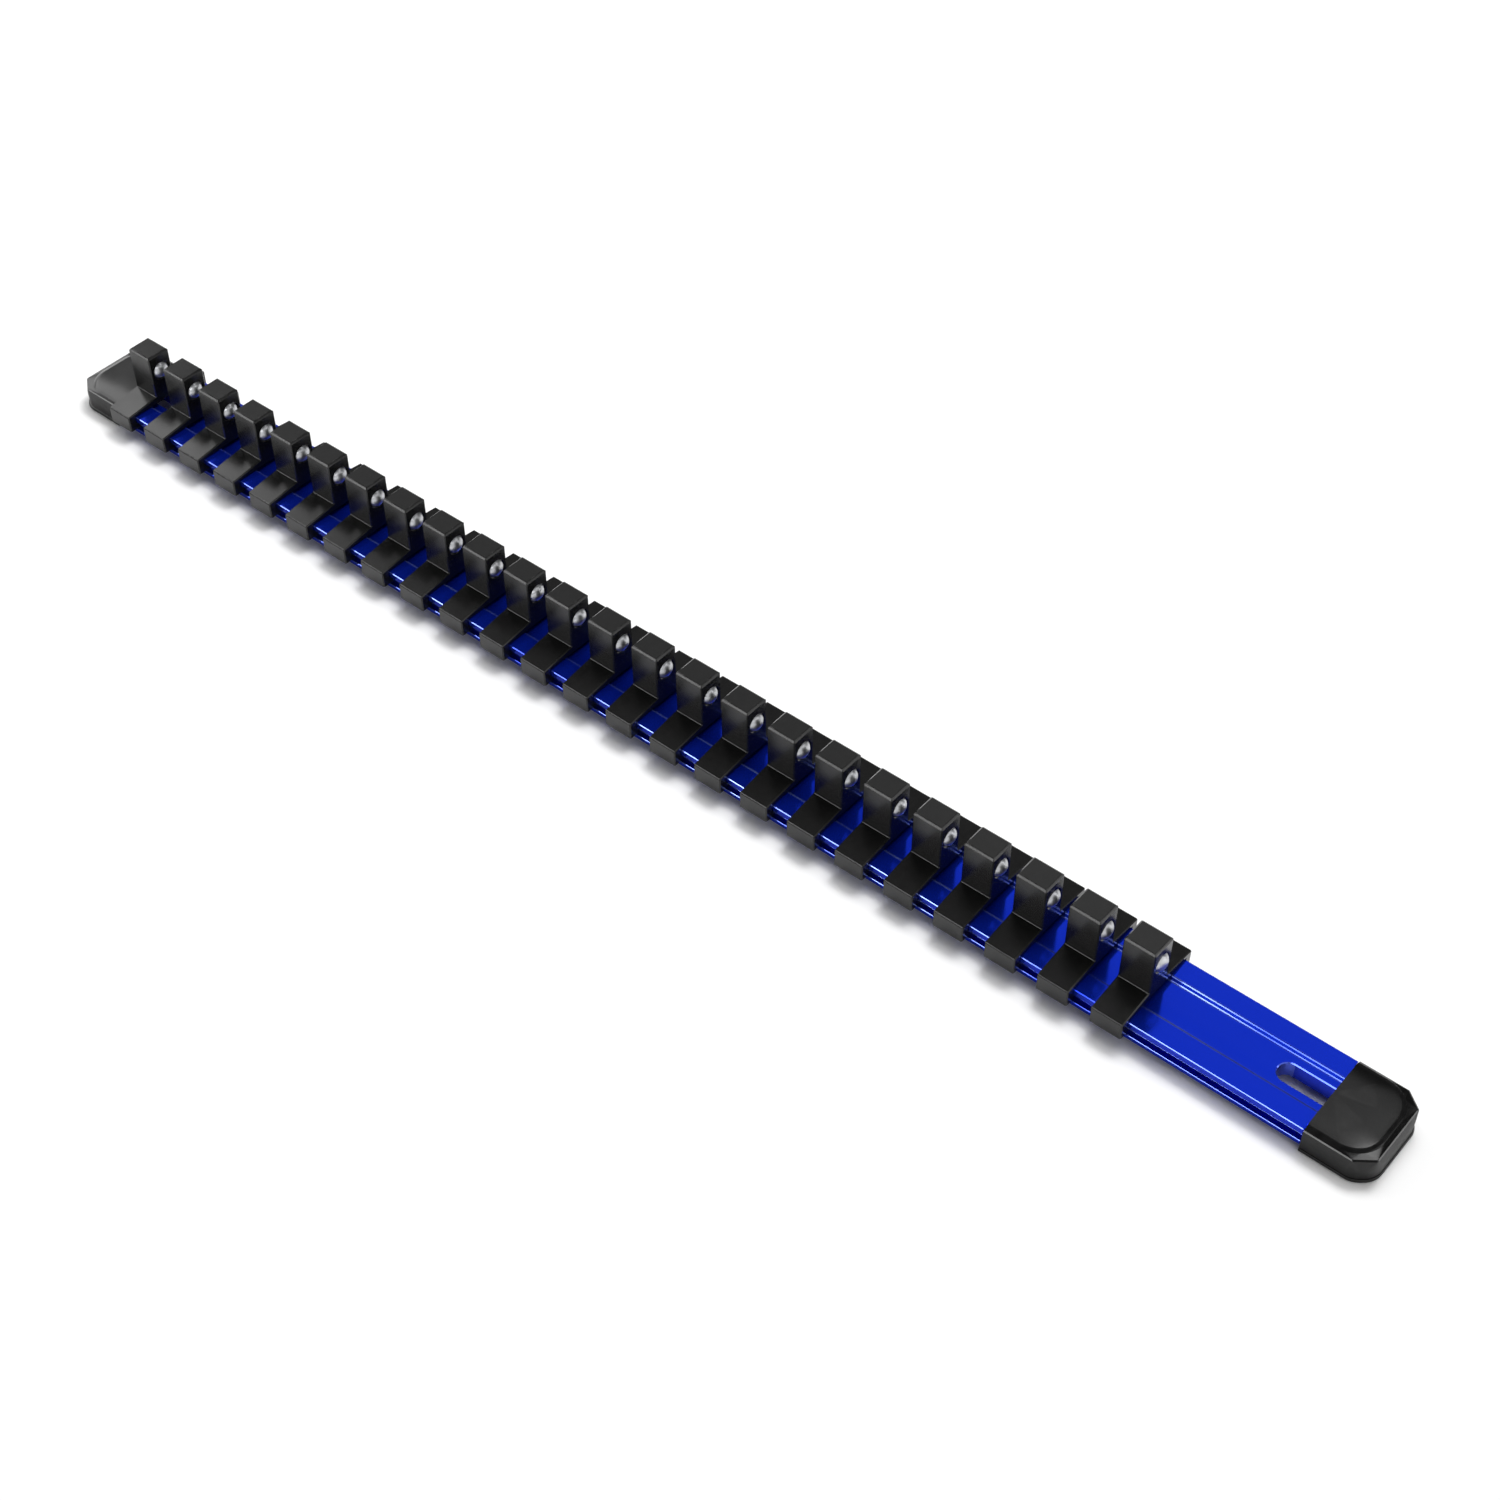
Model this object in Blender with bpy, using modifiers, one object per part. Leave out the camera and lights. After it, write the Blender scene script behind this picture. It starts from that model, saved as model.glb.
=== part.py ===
"""Socket rail for a tool drawer: a low aluminium extrusion that carries a row of sliding clips.

Each clip is one moulding: a saddle that hooks round both edges of the rail, and a square post that a
socket's drive hole slides over.  A steel ball, pushed out by a coil spring in a blind bore, grips the
socket.  Soft caps close both ends of the rail and lift it off the bench.

Frame: metres, +X along the rail towards its bare end, +Y to the back, +Z up.  The origin is below the
middle of the rail, at the level of the caps' feet.
"""

import math

import bmesh
import bpy

# Running clearance between a piece and the one it fits
GAP = 0.0003

# The row of clips
CLIP_COUNT = 24
CLIP_PITCH = 0.016
BARE_LENGTH = 0.0493

# Rail extrusion
RAIL_WIDTH = 0.0256
RAIL_HEIGHT = 0.0061
RAIL_UPPER_LIP = 0.0018
RAIL_LOWER_LIP = 0.0014
RAIL_GROOVE_DEPTH = 0.0019
RAIL_GROOVE_DRAFT = 0.0002
RAIL_EDGE_CHAMFER = 0.0004
CHANNEL_WIDTH = 0.0127
CHANNEL_FLOOR_WIDTH = 0.011
CHANNEL_DEPTH = 0.0011

# Necks at the rail's ends, cut back so that a cap sits nearly flush with the rail
NECK_SIDE_CUT = 0.0005
NECK_CORNER_CUT = 0.0016

# Screw slots at the rail's ends: the part past the cap's rim, and the part under the cap
SLOT_WIDTH = 0.006
SLOT_OPEN_LENGTH = 0.0146
SLOT_HIDDEN_LENGTH = 0.006
SLOT_ARC_STEPS = 8

# End caps: a body that flares towards its foot, and a raised panel on top with a ledge round it
CAP_LENGTH = 0.0189
CAP_SOCKET_DEPTH = 0.012
CAP_SIDE_WALL = 0.0009
CAP_ROOF = 0.0009
CAP_FLOOR = 0.0013
CAP_SIDE_FLARE = 0.0003
CAP_END_FLARE = 0.0009
CAP_CORNER_LENGTH = 0.0046
CAP_CORNER_WIDTH = 0.0036
CAP_FOOT_ROUND = 0.0009
CAP_UPRIGHT_ROUND_SHARE = 0.7
CAP_LEDGE_ROUND_SHARE = 0.3
CAP_ROUND_STEPS = 3
PANEL_HEIGHT = 0.00115
PANEL_INSET = 0.0012
PANEL_CORNER_RADIUS = 0.0065
PANEL_CORNER_STEPS = 6
PANEL_EDGE_ROUND = 0.001
PANEL_ROUND_STEPS = 3
LEVEL_SHARE = 0.01

# Clip saddle, whose top falls from the post towards its front and back edges
CLIP_WIDTH = 0.0093
HOOK_THICKNESS = 0.0024
SADDLE_ROOT_THICKNESS = 0.0023
SADDLE_EDGE_THICKNESS = 0.0009
SADDLE_EDGE_CHAMFER = 0.0004
TOE_REACH = 0.0015
TOE_LEAD_IN = 0.0006

# Clip post
POST_DEPTH = 0.008
POST_HEIGHT = 0.0144
POST_TOP_ROUND = 0.001
POST_ROUND_STEPS = 2

# Ball, spring and the blind bore that holds them
BALL_RADIUS = 0.003
BALL_PROTRUSION = 0.0013
BALL_TRAVEL = 0.0012
BALL_HEIGHT_SHARE = 0.57
BALL_SEGMENTS = 10
BALL_RINGS = 6
BORE_WALL = 0.0008
BORE_LIP_LENGTH = 0.0008
BORE_SEGMENTS = 12
SPRING_RADIUS = 0.0018
SPRING_WIRE_RADIUS = 0.00022
SPRING_TURN_PITCH = 0.0012
SPRING_POINTS_PER_TURN = 8
SPRING_SEAT_DEPTH = 0.00015

# Length that a cutter runs past the faces it opens
OVERRUN = 0.001
WELD_DISTANCE = 0.00001

# Heights and places that follow from the sizes above
RAIL_BOTTOM_Z = CAP_FLOOR + GAP
RAIL_TOP_Z = RAIL_BOTTOM_Z + RAIL_HEIGHT
RAIL_HALF_WIDTH = RAIL_WIDTH / 2
GROOVE_BOTTOM_Z = RAIL_BOTTOM_Z + RAIL_LOWER_LIP
GROOVE_TOP_Z = RAIL_TOP_Z - RAIL_UPPER_LIP
CHANNEL_FLOOR_Z = RAIL_TOP_Z - CHANNEL_DEPTH
SADDLE_UNDERSIDE_Z = RAIL_TOP_Z + GAP
SADDLE_EDGE_Z = SADDLE_UNDERSIDE_Z + SADDLE_EDGE_THICKNESS
SADDLE_ROOT_Z = SADDLE_UNDERSIDE_Z + SADDLE_ROOT_THICKNESS
POST_TOP_Z = SADDLE_ROOT_Z + POST_HEIGHT
NECK_HALF_WIDTH = RAIL_HALF_WIDTH - NECK_SIDE_CUT
CAP_TOP_Z = RAIL_TOP_Z + GAP + CAP_ROOF
CAP_LEDGE_Z = CAP_TOP_Z - PANEL_HEIGHT
CAP_HALF_WIDTH = NECK_HALF_WIDTH + GAP + CAP_SIDE_WALL
OPEN_LENGTH = GAP + (CLIP_COUNT - 1) * CLIP_PITCH + CLIP_WIDTH + BARE_LENGTH
RAIL_HALF_LENGTH = OPEN_LENGTH / 2 + CAP_SOCKET_DEPTH
CAP_RIM_X = OPEN_LENGTH / 2
FIRST_CLIP_X = -CAP_RIM_X + GAP + CLIP_WIDTH / 2
BALL_OFFSET_X = CLIP_WIDTH / 2 - (BALL_RADIUS - BALL_PROTRUSION)
BALL_Z = SADDLE_ROOT_Z + POST_HEIGHT * BALL_HEIGHT_SHARE
BORE_RADIUS = BALL_RADIUS + GAP
BORE_DEPTH = CLIP_WIDTH - BORE_WALL


def clear_scene():
    """Remove every object, so that the script starts from an empty scene."""
    for found in list(bpy.data.objects):
        bpy.data.objects.remove(found, do_unlink=True)


def new_collection(name):
    """Make a collection under the scene and return it."""
    made = bpy.data.collections.new(name)
    bpy.context.scene.collection.children.link(made)
    return made


def new_material(name, colour, roughness, metallic):
    """Make a Principled material from a colour, a roughness and a metallic value."""
    made = bpy.data.materials.new(name)
    made.use_nodes = True
    made.diffuse_color = colour
    shader = made.node_tree.nodes["Principled BSDF"]
    shader.inputs["Base Color"].default_value = colour
    shader.inputs["Roughness"].default_value = roughness
    shader.inputs["Metallic"].default_value = metallic
    return made


def add_object(name, mesh, collection):
    """Link a new object that shows a mesh."""
    made = bpy.data.objects.new(name, mesh)
    collection.objects.link(made)
    return made


def mark_cutter(cutter):
    """Keep a cutter out of the model and show it as a wire frame."""
    cutter.hide_render = True
    cutter.display_type = "WIRE"
    return cutter


def evaluated_mesh(source, name):
    """Return the mesh of an object with its modifiers or its curve applied, welded."""
    graph = bpy.context.evaluated_depsgraph_get()
    mesh = bpy.data.meshes.new_from_object(source.evaluated_get(graph))
    mesh.name = name
    work = bmesh.new()
    work.from_mesh(mesh)
    bmesh.ops.remove_doubles(work, verts=work.verts, dist=WELD_DISTANCE)
    work.to_mesh(mesh)
    work.free()
    return mesh


def curve_to_mesh_object(curve_object, collection):
    """Replace a curve object by a mesh object of the same name and place."""
    name = curve_object.name
    matrix = curve_object.matrix_world.copy()
    mesh = evaluated_mesh(curve_object, name)
    bpy.data.objects.remove(curve_object, do_unlink=True)
    made = add_object(name, mesh, collection)
    made.matrix_world = matrix
    return made


def flat_outline(name, points, thickness, collection):
    """Extrude a closed outline, given in its own plane, to both sides of that plane."""
    curve = bpy.data.curves.new(name, "CURVE")
    curve.dimensions = "2D"
    curve.fill_mode = "BOTH"
    curve.extrude = thickness / 2
    spline = curve.splines.new("POLY")
    spline.points.add(len(points) - 1)
    for target, point in zip(spline.points, points):
        target.co = (point[0], point[1], 0, 1)
    spline.use_cyclic_u = True
    return add_object(name, curve, collection)


def cross_section_solid(name, points, length, collection):
    """Make a solid along X from an outline in Y and Z, centred on X = 0."""
    solid = flat_outline(name, points, length, collection)
    solid.rotation_euler = (math.pi / 2, 0, math.pi / 2)
    bpy.context.view_layer.update()
    return curve_to_mesh_object(solid, collection)


def plan_solid(name, points, bottom, top, collection):
    """Make an upright solid from an outline in X and Y, between two heights."""
    solid = flat_outline(name, points, top - bottom, collection)
    solid.location.z = (top + bottom) / 2
    bpy.context.view_layer.update()
    return curve_to_mesh_object(solid, collection)


def bake_place(solid):
    """Move an object's place into its mesh, so that its origin is the model's."""
    bpy.context.view_layer.update()
    solid.data.transform(solid.matrix_world)
    solid.matrix_world.identity()
    return solid


def cut(target, cutter):
    """Subtract a cutter from a piece with a live Boolean modifier."""
    modifier = target.modifiers.new("cut_" + cutter.name, "BOOLEAN")
    modifier.operation = "DIFFERENCE"
    modifier.solver = "EXACT"
    modifier.object = cutter


def mirrored(right_half):
    """Close an outline from its right half, listed from the middle of its foot upwards."""
    left_half = [(-y, z) for y, z in reversed(right_half)]
    return right_half + left_half


def arc(centre, radius, start, end, steps):
    """Return the points of an arc, its two ends included."""
    points = []
    for step in range(steps + 1):
        angle = start + (end - start) * step / steps
        points.append((centre[0] + radius * math.cos(angle), centre[1] + radius * math.sin(angle)))
    return points


def smooth_by_angle(mesh, degrees):
    """Shade a mesh smooth and keep its corners sharp."""
    mesh.shade_smooth()
    mesh.set_sharp_from_angle(angle=math.radians(degrees))


def rail_outline():
    """Outline of the extrusion: a shallow channel on top and a groove along each side."""
    groove_y = RAIL_HALF_WIDTH - RAIL_GROOVE_DEPTH
    return mirrored([
        (RAIL_HALF_WIDTH - RAIL_EDGE_CHAMFER, RAIL_BOTTOM_Z),
        (RAIL_HALF_WIDTH, RAIL_BOTTOM_Z + RAIL_EDGE_CHAMFER),
        (RAIL_HALF_WIDTH, GROOVE_BOTTOM_Z),
        (groove_y, GROOVE_BOTTOM_Z + RAIL_GROOVE_DRAFT),
        (groove_y, GROOVE_TOP_Z - RAIL_GROOVE_DRAFT),
        (RAIL_HALF_WIDTH, GROOVE_TOP_Z),
        (RAIL_HALF_WIDTH, RAIL_TOP_Z - RAIL_EDGE_CHAMFER),
        (RAIL_HALF_WIDTH - RAIL_EDGE_CHAMFER, RAIL_TOP_Z),
        (CHANNEL_WIDTH / 2, RAIL_TOP_Z),
        (CHANNEL_FLOOR_WIDTH / 2, CHANNEL_FLOOR_Z),
    ])


def slot_outline(inner_x, outer_x):
    """Outline of a slot with round ends, from its end near the clips to its end under the cap."""
    low_x = min(inner_x, outer_x) + SLOT_WIDTH / 2
    high_x = max(inner_x, outer_x) - SLOT_WIDTH / 2
    right_end = arc((high_x, 0), SLOT_WIDTH / 2, -math.pi / 2, math.pi / 2, SLOT_ARC_STEPS)
    left_end = arc((low_x, 0), SLOT_WIDTH / 2, math.pi / 2, math.pi * 3 / 2, SLOT_ARC_STEPS)
    return right_end + left_end


def neck_outline():
    """Outline of what is cut off one side of the rail at its ends."""
    outside_y = RAIL_HALF_WIDTH + OVERRUN
    return [
        (NECK_HALF_WIDTH, RAIL_BOTTOM_Z - OVERRUN),
        (outside_y, RAIL_BOTTOM_Z - OVERRUN),
        (outside_y, RAIL_TOP_Z + OVERRUN),
        (NECK_HALF_WIDTH - NECK_CORNER_CUT - OVERRUN, RAIL_TOP_Z + OVERRUN),
        (NECK_HALF_WIDTH, RAIL_TOP_Z - NECK_CORNER_CUT),
    ]


def cut_neck(rail, side, label, cutters):
    """Cut both sides of the rail back at its left end (side -1) or right end (side 1)."""
    start_x = CAP_RIM_X - GAP
    length = RAIL_HALF_LENGTH + OVERRUN - start_x
    back = neck_outline()
    front = [(-y, z) for y, z in reversed(back)]
    for outline, place in ((back, "back"), (front, "front")):
        cutter = cross_section_solid(f"neck_cutter_{label}_{place}", outline, length, cutters)
        cutter.location.x = side * (start_x + length / 2)
        bpy.context.view_layer.update()
        cut(rail, mark_cutter(cutter))


def build_rail(parts, cutters, material):
    """Extrude the rail, then cut a neck and a screw slot at each end."""
    rail = cross_section_solid("rail", rail_outline(), RAIL_HALF_LENGTH * 2, parts)
    bake_place(rail)
    for side, label in ((-1, "left"), (1, "right")):
        cut_neck(rail, side, label, cutters)
        inner_x = side * (CAP_RIM_X - SLOT_OPEN_LENGTH)
        outer_x = side * (CAP_RIM_X + SLOT_HIDDEN_LENGTH)
        slot = plan_solid("slot_cutter_" + label, slot_outline(inner_x, outer_x),
                          RAIL_BOTTOM_Z - OVERRUN, RAIL_TOP_Z + OVERRUN, cutters)
        cut(rail, mark_cutter(slot))
    rail.data.materials.append(material)
    return rail


def cap_plan():
    """Outline of the right cap's foot: its outer end has cut corners, its inner end is trimmed later."""
    start_x = CAP_RIM_X - OVERRUN
    end_x = CAP_RIM_X + CAP_LENGTH
    corner_x = end_x - CAP_CORNER_LENGTH
    corner_y = CAP_HALF_WIDTH - CAP_CORNER_WIDTH
    return [
        (start_x, -CAP_HALF_WIDTH),
        (corner_x, -CAP_HALF_WIDTH),
        (end_x, -corner_y),
        (end_x, corner_y),
        (corner_x, CAP_HALF_WIDTH),
        (start_x, CAP_HALF_WIDTH),
    ]


def panel_plan():
    """Outline of the raised panel: as the ledge leaves it, with rounded outer corners."""
    start_x = CAP_RIM_X - OVERRUN
    end_x = CAP_RIM_X + CAP_LENGTH - CAP_END_FLARE - PANEL_INSET
    half_width = CAP_HALF_WIDTH - CAP_SIDE_FLARE - PANEL_INSET
    radius = PANEL_CORNER_RADIUS
    front = arc((end_x - radius, radius - half_width), radius, -math.pi / 2, 0, PANEL_CORNER_STEPS)
    back = arc((end_x - radius, half_width - radius), radius, 0, math.pi / 2, PANEL_CORNER_STEPS)
    return [(start_x, -half_width)] + front + back + [(start_x, half_width)]


def cap_socket_outline():
    """Outline of the space inside a cap: the neck's section, with a key left in its channel."""
    channel_y = CHANNEL_WIDTH / 2 - GAP
    floor_y = CHANNEL_FLOOR_WIDTH / 2 - GAP
    corner_slack = GAP * (math.sqrt(2) - 1)
    return mirrored([
        (NECK_HALF_WIDTH + GAP, RAIL_BOTTOM_Z - GAP),
        (NECK_HALF_WIDTH + GAP, RAIL_TOP_Z - NECK_CORNER_CUT + corner_slack),
        (NECK_HALF_WIDTH - NECK_CORNER_CUT + corner_slack, RAIL_TOP_Z + GAP),
        (channel_y, RAIL_TOP_Z + GAP),
        (floor_y, CHANNEL_FLOOR_Z + GAP),
    ])


def merge_flat_faces(solid):
    """Dissolve the edges inside flat faces, so that a bevel sees only real edges."""
    work = bmesh.new()
    work.from_mesh(solid.data)
    bmesh.ops.dissolve_limit(work, angle_limit=math.radians(1), verts=work.verts, edges=work.edges)
    work.to_mesh(solid.data)
    work.free()


def flare(solid):
    """Draw a cap blank's top in from its foot, on its sides and its outer end."""
    end_share = (CAP_LENGTH - CAP_END_FLARE) / CAP_LENGTH
    side_share = (CAP_HALF_WIDTH - CAP_SIDE_FLARE) / CAP_HALF_WIDTH
    for vertex in solid.data.vertices:
        if vertex.co.z > CAP_LEDGE_Z / 2:
            vertex.co.x = CAP_RIM_X + (vertex.co.x - CAP_RIM_X) * end_share
            vertex.co.y = vertex.co.y * side_share


def cap_edge_weight(first, second):
    """Share of the foot's round that an edge of the cap's body takes."""
    if max(first.x, second.x) < CAP_RIM_X:
        return 0
    if abs(first.z - second.z) > CAP_LENGTH * LEVEL_SHARE:
        return CAP_UPRIGHT_ROUND_SHARE
    if first.z > CAP_LEDGE_Z / 2:
        return CAP_LEDGE_ROUND_SHARE
    return 1


def panel_edge_weight(first, second):
    """Full round on the panel's top edges, and none on its others."""
    on_top = min(first.z, second.z) > CAP_LEDGE_Z
    return 1 if on_top and max(first.x, second.x) > CAP_RIM_X else 0


def round_edges(solid, weight_of, width, steps):
    """Bevel a solid's edges by the weights that a function gives their two ends."""
    weights = solid.data.attributes.new("bevel_weight_edge", "FLOAT", "EDGE")
    for edge in solid.data.edges:
        ends = [solid.data.vertices[index].co for index in edge.vertices]
        weights.data[edge.index].value = weight_of(*ends)
    rounding = solid.modifiers.new("rounding", "BEVEL")
    rounding.limit_method = "WEIGHT"
    rounding.width = width
    rounding.segments = steps


def build_cap_mesh(parts, cutters):
    """Make the mesh of the right cap, in its place on the rail."""
    cap = plan_solid("cap_blank", cap_plan(), 0, CAP_LEDGE_Z, parts)
    bake_place(cap)
    merge_flat_faces(cap)
    flare(cap)
    round_edges(cap, cap_edge_weight, CAP_FOOT_ROUND, CAP_ROUND_STEPS)

    panel = plan_solid("cap_panel_blank", panel_plan(), RAIL_TOP_Z - NECK_CORNER_CUT, CAP_TOP_Z, cutters)
    bake_place(panel)
    merge_flat_faces(panel)
    round_edges(panel, panel_edge_weight, PANEL_EDGE_ROUND, PANEL_ROUND_STEPS)
    raising = cap.modifiers.new("panel", "BOOLEAN")
    raising.operation = "UNION"
    raising.solver = "EXACT"
    raising.object = mark_cutter(panel)

    trim_length = OVERRUN * 2
    trim_outline = mirrored([(CAP_HALF_WIDTH + OVERRUN, -OVERRUN),
                             (CAP_HALF_WIDTH + OVERRUN, CAP_TOP_Z + OVERRUN)])
    trim = cross_section_solid("cap_rim_cutter", trim_outline, trim_length, cutters)
    trim.location.x = CAP_RIM_X - trim_length / 2
    socket_length = CAP_SOCKET_DEPTH + GAP + OVERRUN
    socket = cross_section_solid("cap_socket_cutter", cap_socket_outline(), socket_length, cutters)
    socket.location.x = CAP_RIM_X - OVERRUN + socket_length / 2
    bpy.context.view_layer.update()
    cut(cap, mark_cutter(trim))
    cut(cap, mark_cutter(socket))

    mesh = evaluated_mesh(cap, "end_cap")
    smooth_by_angle(mesh, 40)
    bpy.data.objects.remove(cap, do_unlink=True)
    return mesh


def build_caps(parts, cutters, material):
    """Place the cap at the right end and the same cap, turned half round, at the left end."""
    mesh = build_cap_mesh(parts, cutters)
    mesh.materials.append(material)
    right = add_object("end_cap_right", mesh, parts)
    left = add_object("end_cap_left", mesh, parts)
    left.rotation_euler.z = math.pi
    return [left, right]


def clip_outline():
    """Outline of a clip seen along the rail: post, sloping saddle, and a hook round each edge."""
    hook_y = RAIL_HALF_WIDTH + GAP
    outer_y = hook_y + HOOK_THICKNESS
    toe_y = hook_y - TOE_REACH
    toe_bottom_z = GROOVE_BOTTOM_Z + GAP
    toe_top_z = GROOVE_TOP_Z - GAP
    post_y = POST_DEPTH / 2
    round_centre = (post_y - POST_TOP_ROUND, POST_TOP_Z - POST_TOP_ROUND)
    right_half = [
        (hook_y, SADDLE_UNDERSIDE_Z),
        (hook_y, toe_top_z),
        (toe_y, toe_top_z),
        (toe_y, toe_bottom_z + TOE_LEAD_IN),
        (toe_y + TOE_LEAD_IN, toe_bottom_z),
        (outer_y, toe_bottom_z),
        (outer_y, SADDLE_EDGE_Z - SADDLE_EDGE_CHAMFER),
        (outer_y - SADDLE_EDGE_CHAMFER, SADDLE_EDGE_Z),
        (post_y, SADDLE_ROOT_Z),
    ]
    right_half += arc(round_centre, POST_TOP_ROUND, 0, math.pi / 2, POST_ROUND_STEPS)
    return mirrored(right_half)


def build_bore_cutter(cutters):
    """Turn the stepped bore: a narrow mouth that keeps the ball in, then the bore itself."""
    mouth_radius = math.sqrt(BALL_RADIUS ** 2 - (BALL_RADIUS - BALL_PROTRUSION) ** 2) + GAP
    profile = [
        (0, OVERRUN),
        (mouth_radius, OVERRUN),
        (mouth_radius, 0),
        (BORE_RADIUS, -BORE_LIP_LENGTH),
        (BORE_RADIUS, -BORE_DEPTH),
        (0, -BORE_DEPTH),
    ]
    mesh = bpy.data.meshes.new("bore_cutter")
    edges = [(index, index + 1) for index in range(len(profile) - 1)]
    mesh.from_pydata([(radius, 0, height) for radius, height in profile], edges, [])
    bore = add_object("bore_cutter", mesh, cutters)
    turning = bore.modifiers.new("turning", "SCREW")
    turning.steps = BORE_SEGMENTS
    turning.render_steps = BORE_SEGMENTS
    turning.use_merge_vertices = True
    turning.merge_threshold = WELD_DISTANCE
    bore.rotation_euler = (0, math.pi / 2, 0)
    bore.location = (CLIP_WIDTH / 2, 0, BALL_Z)
    bpy.context.view_layer.update()
    return mark_cutter(bore)


def build_clips(parts, cutters, material):
    """Mould one clip and set a copy of it at each place along the rail."""
    blank = cross_section_solid("clip_blank", clip_outline(), CLIP_WIDTH, parts)
    bake_place(blank)
    cut(blank, build_bore_cutter(cutters))
    mesh = evaluated_mesh(blank, "clip")
    smooth_by_angle(mesh, 40)
    mesh.materials.append(material)
    bpy.data.objects.remove(blank, do_unlink=True)
    clips = []
    for index in range(CLIP_COUNT):
        clip = add_object(f"clip_{index + 1:02d}", mesh, parts)
        clip.location.x = FIRST_CLIP_X + index * CLIP_PITCH
        clips.append(clip)
    return clips


def spring_points():
    """Centre line of the spring behind the ball, with the ball's centre as its origin."""
    start_x = -math.sqrt(BALL_RADIUS ** 2 - SPRING_RADIUS ** 2) + SPRING_SEAT_DEPTH
    bore_floor_x = CLIP_WIDTH / 2 - BORE_DEPTH - BALL_OFFSET_X
    end_x = bore_floor_x + BALL_TRAVEL + GAP + SPRING_WIRE_RADIUS
    steps = round((start_x - end_x) / SPRING_TURN_PITCH * SPRING_POINTS_PER_TURN)
    points = []
    for step in range(steps + 1):
        angle = math.tau * step / SPRING_POINTS_PER_TURN
        x = start_x + (end_x - start_x) * step / steps
        points.append((x, SPRING_RADIUS * math.cos(angle), SPRING_RADIUS * math.sin(angle)))
    return points


def least_turn_gap(points):
    """Return the least clear distance between neighbouring turns of the wire."""
    apart = SPRING_POINTS_PER_TURN
    nearest = min(math.dist(points[index], points[index + apart])
                  for index in range(len(points) - apart))
    return nearest - SPRING_WIRE_RADIUS * 2


def build_spring(cutters):
    """Wind the spring as one unbroken wire with closed ends."""
    points = spring_points()
    print(f"least gap between the spring's turns: {least_turn_gap(points):.5f} m")
    curve = bpy.data.curves.new("spring", "CURVE")
    curve.dimensions = "3D"
    curve.bevel_depth = SPRING_WIRE_RADIUS
    curve.bevel_resolution = 0
    curve.use_fill_caps = True
    spline = curve.splines.new("POLY")
    spline.points.add(len(points) - 1)
    for target, point in zip(spline.points, points):
        target.co = (*point, 1)
    spring = add_object("spring_blank", curve, cutters)
    bpy.context.view_layer.update()
    return mark_cutter(curve_to_mesh_object(spring, cutters))


def build_detents(parts, cutters, clips, material):
    """Join a ball and its spring, and set a copy in each clip's bore."""
    ball_mesh = bpy.data.meshes.new("ball")
    work = bmesh.new()
    bmesh.ops.create_uvsphere(work, u_segments=BALL_SEGMENTS, v_segments=BALL_RINGS,
                              radius=BALL_RADIUS)
    work.to_mesh(ball_mesh)
    work.free()
    ball = add_object("ball_blank", ball_mesh, parts)
    ball.rotation_euler = (0, math.pi / 2, 0)
    bake_place(ball)
    joining = ball.modifiers.new("spring", "BOOLEAN")
    joining.operation = "UNION"
    joining.solver = "EXACT"
    joining.object = build_spring(cutters)
    mesh = evaluated_mesh(ball, "detent")
    smooth_by_angle(mesh, 50)
    mesh.materials.append(material)
    bpy.data.objects.remove(ball, do_unlink=True)
    detents = []
    for index, clip in enumerate(clips):
        detent = add_object(f"detent_{index + 1:02d}", mesh, parts)
        detent.parent = clip
        detent.location = (BALL_OFFSET_X, 0, BALL_Z)
        detents.append(detent)
    return detents


def main():
    """Build the whole rail and gather its pieces under one empty."""
    clear_scene()
    parts = new_collection("socket_rail")
    cutters = new_collection("cutters")
    blue_metal = new_material("blue_anodised_aluminium", (0.008, 0.035, 0.45, 1), 0.28, 1)
    black_nylon = new_material("black_moulded_nylon", (0.012, 0.012, 0.013, 1), 0.32, 0)
    black_vinyl = new_material("black_soft_vinyl", (0.014, 0.014, 0.015, 1), 0.25, 0)
    steel = new_material("polished_steel", (0.72, 0.72, 0.74, 1), 0.08, 1)

    rail = build_rail(parts, cutters, blue_metal)
    caps = build_caps(parts, cutters, black_vinyl)
    clips = build_clips(parts, cutters, black_nylon)
    build_detents(parts, cutters, clips, steel)

    holder = bpy.data.objects.new("socket_rail_origin", None)
    parts.objects.link(holder)
    for piece in [rail] + caps + clips:
        piece.parent = holder


main()
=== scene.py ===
"""Dressed socket rail: a blue anodised extrusion with 24 sliding clips, their balls and springs, and two end caps.

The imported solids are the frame.  Each class below builds one kind of piece in fine mesh, gives it its finish,
and makes it ride on the body that carries it.  Lengths are in metres, in the frame of the solids.
"""

import logging
import math
from collections.abc import Callable
from dataclasses import dataclass
from enum import Enum

import bmesh
import bpy
from mathutils import Matrix, Vector


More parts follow.
